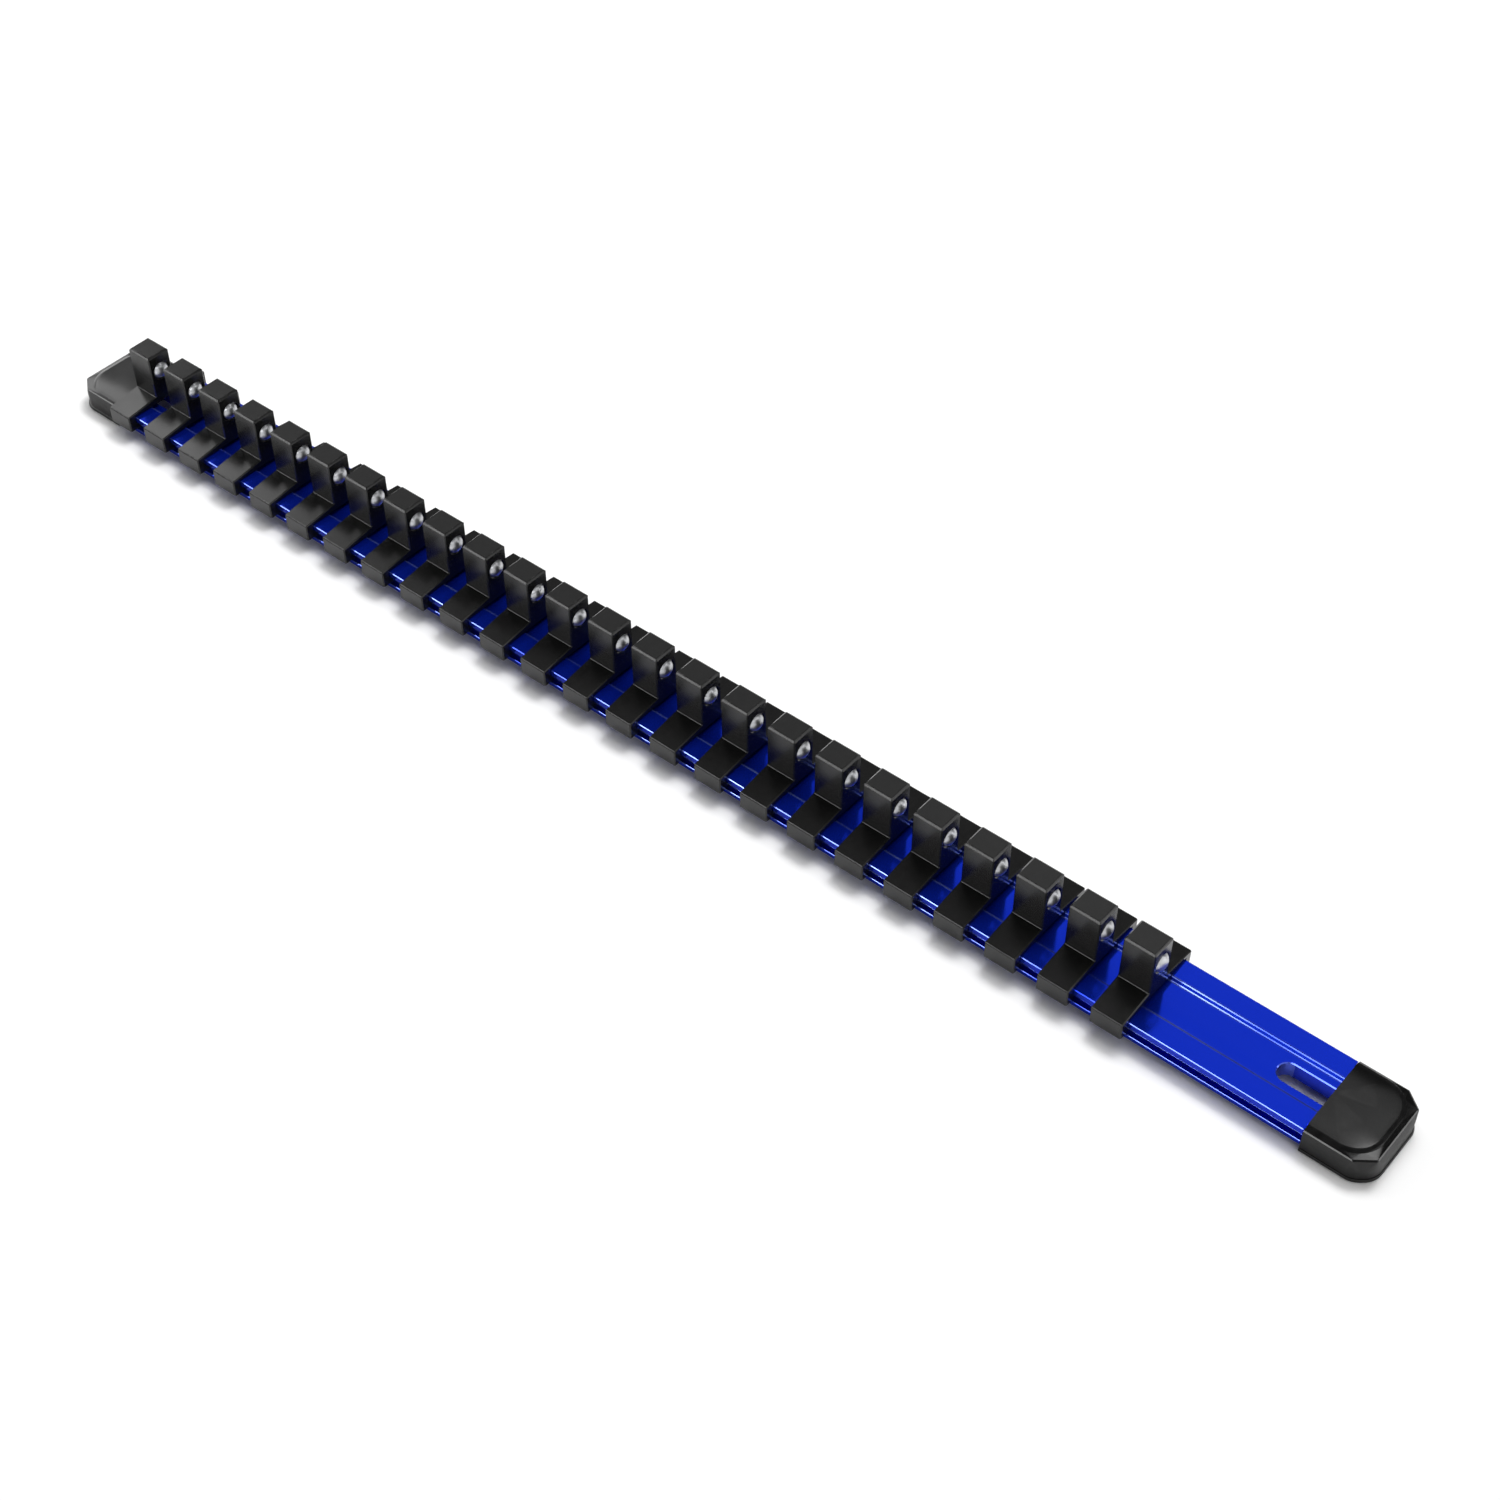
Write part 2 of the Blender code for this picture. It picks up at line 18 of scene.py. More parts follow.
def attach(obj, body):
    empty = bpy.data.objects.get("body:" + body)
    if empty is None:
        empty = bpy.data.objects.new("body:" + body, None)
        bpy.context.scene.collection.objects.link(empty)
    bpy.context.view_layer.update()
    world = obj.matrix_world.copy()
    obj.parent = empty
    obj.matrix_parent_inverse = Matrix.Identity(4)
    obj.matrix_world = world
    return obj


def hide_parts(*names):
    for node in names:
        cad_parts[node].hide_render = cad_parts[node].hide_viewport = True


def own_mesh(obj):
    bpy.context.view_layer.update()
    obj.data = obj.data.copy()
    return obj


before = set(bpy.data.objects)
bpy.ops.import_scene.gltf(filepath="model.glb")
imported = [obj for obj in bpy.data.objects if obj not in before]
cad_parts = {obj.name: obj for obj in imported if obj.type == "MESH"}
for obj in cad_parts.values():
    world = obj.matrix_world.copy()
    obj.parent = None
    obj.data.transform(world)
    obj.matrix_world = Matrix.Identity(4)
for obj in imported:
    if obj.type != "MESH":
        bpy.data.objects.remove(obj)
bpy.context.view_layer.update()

log = logging.getLogger("socket_rail")

Point = tuple[float, float]
Place = tuple[float, float, float]
Ring = list[Vector]
Colour = tuple[float, float, float, float]

# How far a cutter reaches past what it cuts, and how near two places are taken as one, in metres.
OVERSHOOT = 0.001
TOUCH = 0.0001

# How strongly large flat faces pull the shading of their edges, of 100.
FLAT_WEIGHT = 80


class Side(Enum):
    """The two ends of the rail, with their sign along X."""

    LEFT = -1
    RIGHT = 1


class RecordSlot(Enum):
    """The material slots of the record, by name."""

    RAIL = "blue_anodised_aluminium"
    CLIP = "black_nylon"
    CAP = "black_vinyl"
    STEEL = "polished_steel"


class BodyName:
    """Names of the bodies of the solids."""

    RAIL = "rail_body"

    @staticmethod
    def clip(number: int) -> str:
        """Return the body of a clip."""
        return f"clip_{number:02d}_body"

    @staticmethod
    def detent(number: int) -> str:
        """Return the body of a clip's ball."""
        return f"detent_{number:02d}_body"


# Objects and meshes


def new_object(name: str, data: bpy.types.ID) -> bpy.types.Object:
    """Link a new object at the origin.

    Args:
        name: The object's name.
        data: The mesh, curve, light or camera that it shows.

    Returns:
        The new object.
    """
    made = bpy.data.objects.new(name, data)
    bpy.context.scene.collection.objects.link(made)
    return made


def settle(source: bpy.types.Object) -> bpy.types.Object:
    """Apply an object's modifiers to the object itself."""
    bpy.context.view_layer.update()
    graph = bpy.context.evaluated_depsgraph_get()
    evaluated = source.evaluated_get(graph)
    mesh = bpy.data.meshes.new_from_object(evaluated, preserve_all_data_layers=True, depsgraph=graph)
    mesh.name = source.data.name
    source.modifiers.clear()
    source.data = mesh
    return source


def discard(*spent: bpy.types.Object) -> None:
    """Remove helper objects."""
    for found in spent:
        bpy.data.objects.remove(found, do_unlink=True)


def helper(name: str, data: bpy.types.ID) -> bpy.types.Object:
    """Link an object that only helps to make others, and keep it out of the picture."""
    made = new_object(name, data)
    made.hide_render = True
    return made


def subtract(target: bpy.types.Object, cutter: bpy.types.Object) -> None:
    """Add a Boolean that cuts one object out of another."""
    modifier = target.modifiers.new("cut_" + cutter.name, "BOOLEAN")
    modifier.operation = "DIFFERENCE"
    modifier.solver = "EXACT"
    modifier.object = cutter


def shade(piece: bpy.types.Object, degrees: float) -> None:
    """Shade a piece smooth, with flat faces that stay flat to the light.

    Args:
        piece: The piece, whose mesh is replaced.
        degrees: Edges that turn by more than this stay sharp.
    """
    piece.data.shade_smooth()
    piece.data.set_sharp_from_angle(angle=math.radians(degrees))
    weighting = piece.modifiers.new("weighting", "WEIGHTED_NORMAL")
    weighting.keep_sharp = True
    weighting.weight = FLAT_WEIGHT
    settle(piece)


def mark_rims(mesh: bpy.types.Mesh, widest: float) -> None:
    """Store which faces belong to a rounded or chamfered edge, for the finishes that paint those edges lighter, as
    wear and as painted highlight.

    Args:
        mesh: The mesh that gets the attribute "rim".
        widest: A face wider than this, in metres, is a flat.
    """
    attribute = mesh.attributes.new("rim", "FLOAT", "FACE")
    for face in mesh.polygons:
        corners = [mesh.vertices[index].co for index in face.vertices]
        longest = max((corners[step] - corners[step - 1]).length for step in range(len(corners)))
        attribute.data[face.index].value = 0.0 if face.area > widest * longest else 1.0


def mark_walls(mesh: bpy.types.Mesh, steepest: float) -> None:
    """Store which faces are upright walls, for the finishes that are duller there.

    Args:
        mesh: The mesh that gets the attribute "wall".
        steepest: The largest upward part of a wall's normal.
    """
    attribute = mesh.attributes.new("wall", "FLOAT", "FACE")
    for face in mesh.polygons:
        attribute.data[face.index].value = 1.0 if abs(face.normal.z) < steepest else 0.0


# Outlines and lofts


@dataclass(frozen=True)
class Corner:
    """A corner of an outline, and the radius that rounds it."""

    x: float
    y: float
    radius: float = 0.0

    @property
    def place(self) -> Vector:
        """The corner's place in the outline's plane."""
        return Vector((self.x, self.y))


def rounded_outline(corners: list[Corner], steps: int) -> list[Point]:
    """Walk round a closed outline and put an arc in each corner that has a radius.

    Args:
        corners: The corners in order.
        steps: Number of chords in each arc.

    Returns:
        The points of the outline, with steps + 1 points for each rounded corner.
    """
    points = []
    for index, corner in enumerate(corners):
        if corner.radius <= 0:
            points.append((corner.x, corner.y))
            continue
        back = (corners[index - 1].place - corner.place).normalized()
        on = (corners[(index + 1) % len(corners)].place - corner.place).normalized()
        half = back.angle(on) / 2
        centre = corner.place + (back + on).normalized() * (corner.radius / math.sin(half))
        start = (corner.place + back * (corner.radius / math.tan(half)) - centre).normalized()
        end = (corner.place + on * (corner.radius / math.tan(half)) - centre).normalized()
        for step in range(steps + 1):
            spot = centre + start.slerp(end, step / steps) * corner.radius
            points.append((spot.x, spot.y))
    return points


def quarter_round(radius: float, steps: int) -> list[Point]:
    """Return how far a rounded edge has drawn in, and how far it has risen, from its side to its top.

    Args:
        radius: How far it draws in and rises in all.
        steps: Number of chords.

    Returns:
        Pairs of inset and rise.
    """
    turns = [math.pi / 2 * step / steps for step in range(steps + 1)]
    return [(radius * (1 - math.cos(turn)), radius * math.sin(turn)) for turn in turns]


def finished_mesh(name: str, work: bmesh.types.BMesh) -> bpy.types.Mesh:
    """Turn a working mesh into a mesh of its own, and free it."""
    mesh = bpy.data.meshes.new(name)
    work.to_mesh(mesh)
    work.free()
    return mesh


def loft(name: str, rings: list[Ring], flat_side: bool = False) -> bpy.types.Mesh:
    """Join rings of equal length, one after another, and close both ends.

    Args:
        name: The mesh's name.
        rings: The rings, each with its points in the same order.
        flat_side: Whether the rings are open, and one more face closes the side between their ends.

    Returns:
        A closed mesh whose faces point outwards.
    """
    work = bmesh.new()
    rows = [[work.verts.new(point) for point in ring] for ring in rings]
    for low, high in zip(rows, rows[1:]):
        for index in range(1 if flat_side else 0, len(low)):
            work.faces.new((low[index - 1], low[index], high[index], high[index - 1]))
    work.faces.new(rows[0] if flat_side else reversed(rows[0]))
    work.faces.new(rows[-1])
    if flat_side:
        work.faces.new([row[0] for row in rows] + [row[-1] for row in reversed(rows)])
    bmesh.ops.recalc_face_normals(work, faces=work.faces)
    return finished_mesh(name, work)


def bar_along_x(name: str, section: list[Point], low_x: float, high_x: float) -> bpy.types.Mesh:
    """Make a closed bar along X from a section in Y and Z."""
    return loft(name, [[Vector((x, y, z)) for y, z in section] for x in (low_x, high_x)])


def both_halves(right_half: list[Corner]) -> list[Corner]:
    """Close a symmetrical outline from its right half, listed from the foot upwards."""
    return right_half + [Corner(-corner.x, corner.y, corner.radius) for corner in reversed(right_half)]


# Shader effects


class NodeSheet:
    """A node tree, with short calls to add nodes and wire them."""

    def __init__(self, tree: bpy.types.NodeTree) -> None:
        """Keep the tree."""
        self.tree = tree

    def add(self, kind: str, inputs: dict[str | int, object] | None = None, **settings: object) -> bpy.types.Node:
        """Add a node.

        Args:
            kind: Blender's name of the node type.
            inputs: What to wire into its inputs, or to set there.
            **settings: Properties of the node.

        Returns:
            The node.
        """
        node = self.tree.nodes.new(kind)
        for name, value in settings.items():
            setattr(node, name, value)
        for name, value in (inputs or {}).items():
            self.feed(node, name, value)
        return node

    def feed(self, node: bpy.types.Node, name: str | int, value: object) -> None:
        """Wire a socket into a node's input, or set the input's value."""
        if isinstance(value, bpy.types.NodeSocket):
            self.tree.links.new(value, node.inputs[name])
        else:
            node.inputs[name].default_value = value

    def maths(self, operation: str, first: object, second: object, third: object = 0.0) -> bpy.types.NodeSocket:
        """Add a Math node and return its result."""
        return self.add("ShaderNodeMath", {0: first, 1: second, 2: third}, operation=operation).outputs[0]

    def noise(self, place: object, scale: object, detail: float) -> bpy.types.NodeSocket:
        """Add a Noise Texture node and return its value."""
        inputs = {"Vector": place, "Scale": scale, "Detail": detail}
        return self.add("ShaderNodeTexNoise", inputs).outputs["Fac"]

    def vector(self, x: object, y: object = 0.0, z: object = 0.0) -> bpy.types.NodeSocket:
        """Join three values to a vector."""
        return self.add("ShaderNodeCombineXYZ", {0: x, 1: y, 2: z}).outputs[0]

    def stretch(
        self, value: object, low: float, high: float, new_low: object = 0.0, new_high: object = 1.0
    ) -> bpy.types.NodeSocket:
        """Stretch the values between two limits to two new limits, and hold them there."""
        inputs = {"Value": value, "From Min": low, "From Max": high, "To Min": new_low, "To Max": new_high}
        return self.add("ShaderNodeMapRange", inputs).outputs[0]

    def blend_colours(self, share: object, first: object, second: object) -> bpy.types.NodeSocket:
        """Mix two colours and return the result."""
        return self.add("ShaderNodeMix", {0: share, 6: first, 7: second}, data_type="RGBA").outputs[2]


class NodeGroup(NodeSheet):
    """A node group with named inputs and outputs."""

    def __init__(self, name: str, kind: str, inputs: dict[str, str], outputs: dict[str, str]) -> None:
        """Make the group's tree, its sockets and its two end nodes.

        Args:
            name: The group's name.
            kind: Blender's name of the tree type.
            inputs: Each input with its kind of socket.
            outputs: Each output with its kind of socket.
        """
        super().__init__(bpy.data.node_groups.new(name, kind))
        for direction, sockets in (("INPUT", inputs), ("OUTPUT", outputs)):
            for title, socket in sockets.items():
                self.tree.interface.new_socket(name=title, in_out=direction, socket_type="NodeSocket" + socket)
        self.source = self.add("NodeGroupInput")
        self.result = self.add("NodeGroupOutput")

    def given(self, title: str) -> bpy.types.NodeSocket:
        """Return the socket that carries an input."""
        return self.source.outputs[title]

    def put_out(self, title: str, value: bpy.types.NodeSocket) -> None:
        """Wire a value to an output."""
        self.tree.links.new(value, self.result.inputs[title])


class EffectGroup(NodeGroup):
    """A shader node group that turns a place and some numbers into values."""

    def __init__(self, name: str, inputs: list[str], outputs: list[str]) -> None:
        """Make the group.

        Args:
            name: The group's name.
            inputs: Names of the numbers that it takes, besides the place.
            outputs: Names of the values that it puts out.
        """
        sockets = {"Place": "Vector"} | dict.fromkeys(inputs, "Float")
        super().__init__(name, "ShaderNodeTree", sockets, dict.fromkeys(outputs, "Float"))

    def patches(self, detail: float) -> bpy.types.NodeSocket:
        """Return a noise whose patches are as wide as the input Patch says."""
        return self.noise(self.given("Place"), self.maths("DIVIDE", 1.0, self.given("Patch")), detail)


class SurfaceEffects:
    """The effects that several finishes share, each one a node group."""

    def __init__(self) -> None:
        """Build every group once."""
        self.grain = self.build_grain()
        self.drawn_lines = self.build_drawn_lines()
        self.handling = self.build_handling()
        self.rubbed_rims = self.build_worn_highlit_rims()

    @staticmethod
    def build_grain() -> bpy.types.NodeTree:
        """Build the fine pebbled grain that a mould leaves."""
        group = EffectGroup("mould_grain", ["Size"], ["Height", "Tone"])
        scale = group.maths("DIVIDE", 1.0, group.given("Size"))
        pebbles = group.noise(group.given("Place"), scale, 3.0)
        broad = group.noise(group.given("Place"), group.maths("MULTIPLY", scale, 0.08), 2.0)
        group.put_out("Height", group.maths("MULTIPLY_ADD", broad, 0.3, pebbles))
        group.put_out("Tone", broad)
        return group.tree

    @staticmethod
    def build_drawn_lines() -> bpy.types.NodeTree:
        """Build the fine lines that a die leaves along an extrusion or a drawn wire."""
        group = EffectGroup("drawn_lines", ["Width", "Length"], ["Height", "Tone"])
        parts = group.add("ShaderNodeSeparateXYZ", {0: group.given("Place")}).outputs
        spreads = [group.given(title) for title in ("Length", "Width", "Width")]
        place = group.vector(*(group.maths("DIVIDE", part, spread) for part, spread in zip(parts, spreads)))
        group.put_out("Height", group.noise(place, 1.0, 3.0))
        group.put_out("Tone", group.noise(place, 0.13, 2.0))
        return group.tree

    @staticmethod
    def build_handling() -> bpy.types.NodeTree:
        """Build the uneven gloss that handling leaves, between a low and a high roughness."""
        group = EffectGroup("handling", ["Patch", "Low", "High"], ["Roughness"])
        smears = group.stretch(group.patches(4.0), 0.3, 0.7, group.given("Low"), group.given("High"))
        group.put_out("Roughness", smears)
        return group.tree

    @staticmethod
    def build_worn_highlit_rims() -> bpy.types.NodeTree:
        """Build the mask of rounded edges that are painted lighter in patches, as wear and as painted highlight lines.
        """
        group = EffectGroup("rubbed_rims", ["Rim", "Patch", "Amount"], ["Mask"])
        share = group.maths("MULTIPLY", group.stretch(group.patches(1.0), 0.2, 0.8), group.given("Rim"))
        group.put_out("Mask", group.maths("MULTIPLY", share, group.given("Amount")))
        return group.tree


class FinishSheet(NodeSheet):
    """The node tree of one material, from the object's own coordinates to its Principled shader."""

    def __init__(self, name: str) -> None:
        """Make a material with a Principled shader and a source of places."""
        self.material = bpy.data.materials.new(name)
        self.material.use_nodes = True
        super().__init__(self.material.node_tree)
        self.shader = self.tree.nodes["Principled BSDF"]
        self.place = self.add("ShaderNodeTexCoord").outputs["Object"]

    def set(self, **values: object) -> None:
        """Set or wire the shader's inputs, named with _ for each space."""
        for name, value in values.items():
            self.feed(self.shader, name.replace("_", " "), value)

    def effect(self, tree: bpy.types.NodeTree, **values: object) -> bpy.types.Node:
        """Place a shared effect, given as its node group, with its inputs."""
        return self.add("ShaderNodeGroup", {"Place": self.place} | values, node_tree=tree)

    def stored(self, name: str) -> bpy.types.NodeSocket:
        """Return a value that the mesh stores for each face."""
        return self.add("ShaderNodeAttribute", attribute_name=name).outputs["Fac"]

    def relief(self, height: bpy.types.NodeSocket, depth: float) -> None:
        """Raise the surface by a height map, whose full range is as high as the depth, in metres."""
        bump = self.add("ShaderNodeBump", {"Height": height, "Distance": depth, "Strength": 1.0})
        self.set(Normal=bump.outputs[0])


@dataclass(frozen=True)
class Gloss:
    """How unevenly a surface shines: the width of its patches, and its lowest and highest roughness."""

    patch: float
    low: float
    high: float


@dataclass(frozen=True)
class Finish:
    """What the finishes share: two colours mixed by a pattern, edges painted lighter as wear and as painted highlight,
    an uneven gloss and a relief.
    """

    title: str
    colour: Colour
    second_colour: Colour
    gloss: Gloss
    relief_depth: float
    metallic: float = 0.0
    specular: float = 0.5
    grain_size: float = 0.0
    line_width: float = 0.0
    line_length: float = 0.0
    tone_share: float = 1.0
    worn_highlit_patch: float = 0.0
    worn_highlit_amount: float = 0.0
    wall_dulling: float = 0.0

    def build(self, effects: SurfaceEffects) -> bpy.types.Material:
        """Build the material.

        Args:
            effects: The shared effects.

        Returns:
            The material.
        """
        sheet = FinishSheet(self.title)
        if self.grain_size:
            pattern = sheet.effect(effects.grain, Size=self.grain_size)
        else:
            pattern = sheet.effect(effects.drawn_lines, Width=self.line_width, Length=self.line_length)
        tone = pattern.outputs["Tone"]
        # Edge faces are painted toward the second colour, as wear and as painted highlight lines along the edges.
        if self.worn_highlit_amount:
            worn_highlit = sheet.effect(
                effects.rubbed_rims, Rim=sheet.stored("rim"), Patch=self.worn_highlit_patch, Amount=self.worn_highlit_amount
            )
            tone = sheet.maths("MULTIPLY_ADD", tone, self.tone_share, worn_highlit.outputs["Mask"])
        handled = sheet.effect(effects.handling, Patch=self.gloss.patch, Low=self.gloss.low, High=self.gloss.high)
        roughness = handled.outputs["Roughness"]
        if self.wall_dulling:
            roughness = sheet.maths("MULTIPLY_ADD", sheet.stored("wall"), self.wall_dulling, roughness)
        sheet.set(
            Base_Color=sheet.blend_colours(tone, self.colour, self.second_colour),
            Metallic=self.metallic,
            Roughness=roughness,
            Specular_IOR_Level=self.specular,
        )
        sheet.relief(pattern.outputs["Height"], self.relief_depth)
        return sheet.material


@dataclass(frozen=True)
class AnodisedAluminium(Finish):
    """Dyed, sealed anodising on an extrusion, its edge faces painted pale as thinner dye and as painted highlight
    lines.
    """

    title: str = "blue_anodised_finish"
    colour: Colour = (0.0014, 0.021, 0.48, 1.0)
    # Pale blue that the edge faces are painted with: painted highlight lines, and thinner dye.
    second_colour: Colour = (0.45, 0.6, 0.97, 1.0)
    metallic: float = 0.75
    specular: float = 0.1
    gloss: Gloss = Gloss(0.012, 0.12, 0.17)
    line_width: float = 0.0009
    line_length: float = 0.2
    tone_share: float = 0.012
    # Edge faces painted pale in patches: painted highlight lines, and thinner dye.
    worn_highlit_patch: float = 0.03
    worn_highlit_amount: float = 0.52
    relief_depth: float = 0.0000006


@dataclass(frozen=True)
class MouldedNylon(Finish):
    """Black nylon with a fine moulded grain, and edges painted lighter as wear and as painted highlight."""

    title: str = "moulded_nylon_finish"
    colour: Colour = (0.0052, 0.0052, 0.0052, 1.0)
    second_colour: Colour = (0.034, 0.034, 0.034, 1.0)
    specular: float = 0.36
    gloss: Gloss = Gloss(0.008, 0.2, 0.24)
    grain_size: float = 0.00016
    tone_share: float = 0.15
    worn_highlit_patch: float = 0.005
    worn_highlit_amount: float = 0.3
    relief_depth: float = 0.0000012


@dataclass(frozen=True)
class SoftVinyl(Finish):
    """Glossy black dipped vinyl, its edges painted lighter as scuffs and as painted highlight, and duller on its
    walls.
    """

    title: str = "soft_vinyl_finish"
    colour: Colour = (0.0018, 0.0018, 0.0018, 1.0)
    second_colour: Colour = (0.026, 0.026, 0.026, 1.0)
    specular: float = 0.34
    gloss: Gloss = Gloss(0.009, 0.15, 0.19)
    grain_size: float = 0.0005
    tone_share: float = 0.04
    worn_highlit_patch: float = 0.003
    worn_highlit_amount: float = 0.35
    wall_dulling: float = 0.3
    relief_depth: float = 0.0000015


@dataclass(frozen=True)
class PolishedSteel(Finish):
    """Hardened steel of a detent ball, polished and faintly scored where sockets pass over it."""

    title: str = "polished_steel_finish"
    colour: Colour = (0.62, 0.63, 0.65, 1.0)
    second_colour: Colour = (0.5, 0.51, 0.53, 1.0)
    metallic: float = 1.0
    gloss: Gloss = Gloss(0.0016, 0.36, 0.42)
    line_width: float = 0.0009
    line_length: float = 0.0002
    relief_depth: float = 0.0000008


@dataclass(frozen=True)
class SpringWire(Finish):
    """Drawn spring wire, straw grey from its heat treatment."""

    title: str = "spring_wire_finish"
    colour: Colour = (0.42, 0.40, 0.37, 1.0)
    second_colour: Colour = (0.26, 0.22, 0.17, 1.0)
    metallic: float = 1.0
    gloss: Gloss = Gloss(0.001, 0.2, 0.34)
    line_width: float = 0.0004
    line_length: float = 0.0001
    relief_depth: float = 0.000002


class Finishes:
    """Every finish of the socket rail, built once."""

    def __init__(self) -> None:
        """Build the shared effects, then the materials."""
        effects = SurfaceEffects()
        self.rail = AnodisedAluminium().build(effects)
        self.clip = MouldedNylon().build(effects)
        self.cap = SoftVinyl().build(effects)
        self.ball = PolishedSteel().build(effects)
        self.spring = SpringWire().build(effects)


# Geometry node trees


class GeometryTree(NodeGroup):
    """A Geometry Nodes tree with named inputs, which ends in Realize Instances and Set Material."""

    def __init__(self, name: str, inputs: dict[str, str]) -> None:
        """Make the tree.

        Args:
            name: The tree's name.
            inputs: Each input with its kind of socket, besides the geometry and the finish.
        """
        sockets = {"Geometry": "Geometry"} | inputs | {"Finish": "Material"}
        super().__init__(name, "GeometryNodeTree", sockets, {"Geometry": "Geometry"})

    def object_shape(self, title: str) -> bpy.types.NodeSocket:
        """Return the geometry of an object input."""
        return self.add("GeometryNodeObjectInfo", {"Object": self.given(title)}).outputs["Geometry"]

    def close(self, shape: bpy.types.NodeSocket) -> None:
        """End the tree with the shape, as real mesh in the given finish."""
        real = self.add("GeometryNodeRealizeInstances", {"Geometry": shape})
        inputs = {"Geometry": real.outputs[0], "Material": self.given("Finish")}
        self.put_out("Geometry", self.add("GeometryNodeSetMaterial", inputs).outputs[0])

    def draw(self, path: bpy.types.NodeSocket, profile: bpy.types.NodeSocket) -> None:
        """End the tree with a profile drawn along a path."""
        inputs = {"Curve": path, "Profile Curve": profile, "Fill Caps": True}
        self.close(self.add("GeometryNodeCurveToMesh", inputs).outputs[0])

    def grow(self, name: str, **values: object) -> bpy.types.Object:
        """Run the tree on an empty mesh and keep the result as a plain mesh.

        Args:
            name: The new object's name.
            **values: The tree's inputs, named with _ for each space.

        Returns:
            The new object, without a modifier.
        """
        made = new_object(name, bpy.data.meshes.new(name))
        modifier = made.modifiers.new("growth", "NODES")
        modifier.node_group = self.tree
        sockets = {item.name: item.identifier for item in self.tree.interface.items_tree if item.in_out == "INPUT"}
        for title, value in values.items():
            modifier[sockets[title.replace("_", " ")]] = value
        return settle(made)


class ExtrusionTree(GeometryTree):
    """Draws a section, given as a curve, along X."""

    def __init__(self) -> None:
        """Build the tree."""
        super().__init__("extrusion_from_die", {"Section": "Object", "Length": "Float"})
        half = self.maths("MULTIPLY", self.given("Length"), 0.5)
        start, end = (self.vector(self.maths("MULTIPLY", half, sign)) for sign in (-1.0, 1.0))
        path = self.add("GeometryNodeCurvePrimitiveLine", {"Start": start, "End": end})
        upright = self.add("GeometryNodeSetCurveNormal", {"Curve": path.outputs[0]}, mode="Z_UP")
        self.draw(upright.outputs[0], self.object_shape("Section"))


class CoilTree(GeometryTree):
    """Winds a compression spring along X from the origin, with its end turns closed up."""

    EASED_SHARE = 0.72
    EVEN_SHARE = 0.28

    def __init__(self) -> None:
        """Build the tree."""
        lengths = dict.fromkeys(("Length", "Coil Radius", "Wire Radius", "Turns"), "Float")
        super().__init__("coil_spring", lengths | {"Points": "Int", "Wire Sides": "Int"})
        coil_radius, wire_radius = self.given("Coil Radius"), self.given("Wire Radius")
        wound = self.add("GeometryNodeCurveSpiral", {
            "Resolution": self.given("Points"),
            "Rotations": self.given("Turns"),
            "Start Radius": coil_radius,
            "End Radius": coil_radius,
            "Height": 0.0,
        })
        round_x = self.add("ShaderNodeSeparateXYZ", {0: self.add("GeometryNodeInputPosition").outputs[0]})
        along = self.add("GeometryNodeSplineParameter").outputs["Factor"]
        eased = self.add("ShaderNodeMapRange", {"Value": along}, interpolation_type="SMOOTHSTEP").outputs[0]
        slow = self.maths("MULTIPLY", eased, self.EASED_SHARE)
        share = self.maths("ADD", slow, self.maths("MULTIPLY", along, self.EVEN_SHARE))
        free = self.maths("SUBTRACT", self.given("Length"), self.maths("MULTIPLY", wire_radius, 2.0))
        place = self.maths("ADD", self.maths("MULTIPLY", share, free), wire_radius)
        position = self.vector(place, round_x.outputs["X"], round_x.outputs["Y"])
        stretched = self.add("GeometryNodeSetPosition", {"Geometry": wound.outputs[0], "Position": position})
        outline = {"Resolution": self.given("Wire Sides"), "Radius": wire_radius}
        wire = self.add("GeometryNodeCurvePrimitiveCircle", outline)
        self.draw(stretched.outputs[0], wire.outputs[0])


class RowTree(GeometryTree):
    """Sets a piece at its place in the row of clips."""

    def __init__(self) -> None:
        """Build the tree."""
        inputs = {"Piece": "Object", "First": "Float", "Pitch": "Float", "Index": "Int"}
        super().__init__("place_in_row", inputs)
        along = self.maths("MULTIPLY_ADD", self.given("Index"), self.given("Pitch"), self.given("First"))
        moving = {"Geometry": self.object_shape("Piece"), "Translation": self.vector(along)}
        self.close(self.add("GeometryNodeTransform", moving).outputs[0])


# Sizes that several pieces share


@dataclass(frozen=True)
class Layout:
    """Sizes and places that the pieces have in common."""

    gap: float = 0.0003
    clip_count: int = 24
    clip_pitch: float = 0.016
    clip_width: float = 0.0093
    bare_length: float = 0.0493
    rail_bottom: float = 0.0016
    rail_top: float = 0.0077
    rail_half_width: float = 0.0128
    neck_half_width: float = 0.0123
    neck_corner: float = 0.0016
    cap_depth: float = 0.012
    channel_half_width: float = 0.00635
    channel_floor_half_width: float = 0.0055
    channel_depth: float = 0.0011
    saddle_root: float = 0.0103
    bore_wall: float = 0.0008
    ball_height: float = 0.018508
    ball_offset: float = 0.00295
    ball_radius: float = 0.003

    @property
    def rim_x(self) -> float:
        """Distance of the caps' rims from the middle."""
        return (self.gap + (self.clip_count - 1) * self.clip_pitch + self.clip_width + self.bare_length) / 2

    @property
    def first_clip_x(self) -> float:
        """Place of the first clip."""
        return -self.rim_x + self.gap + self.clip_width / 2


# The pieces


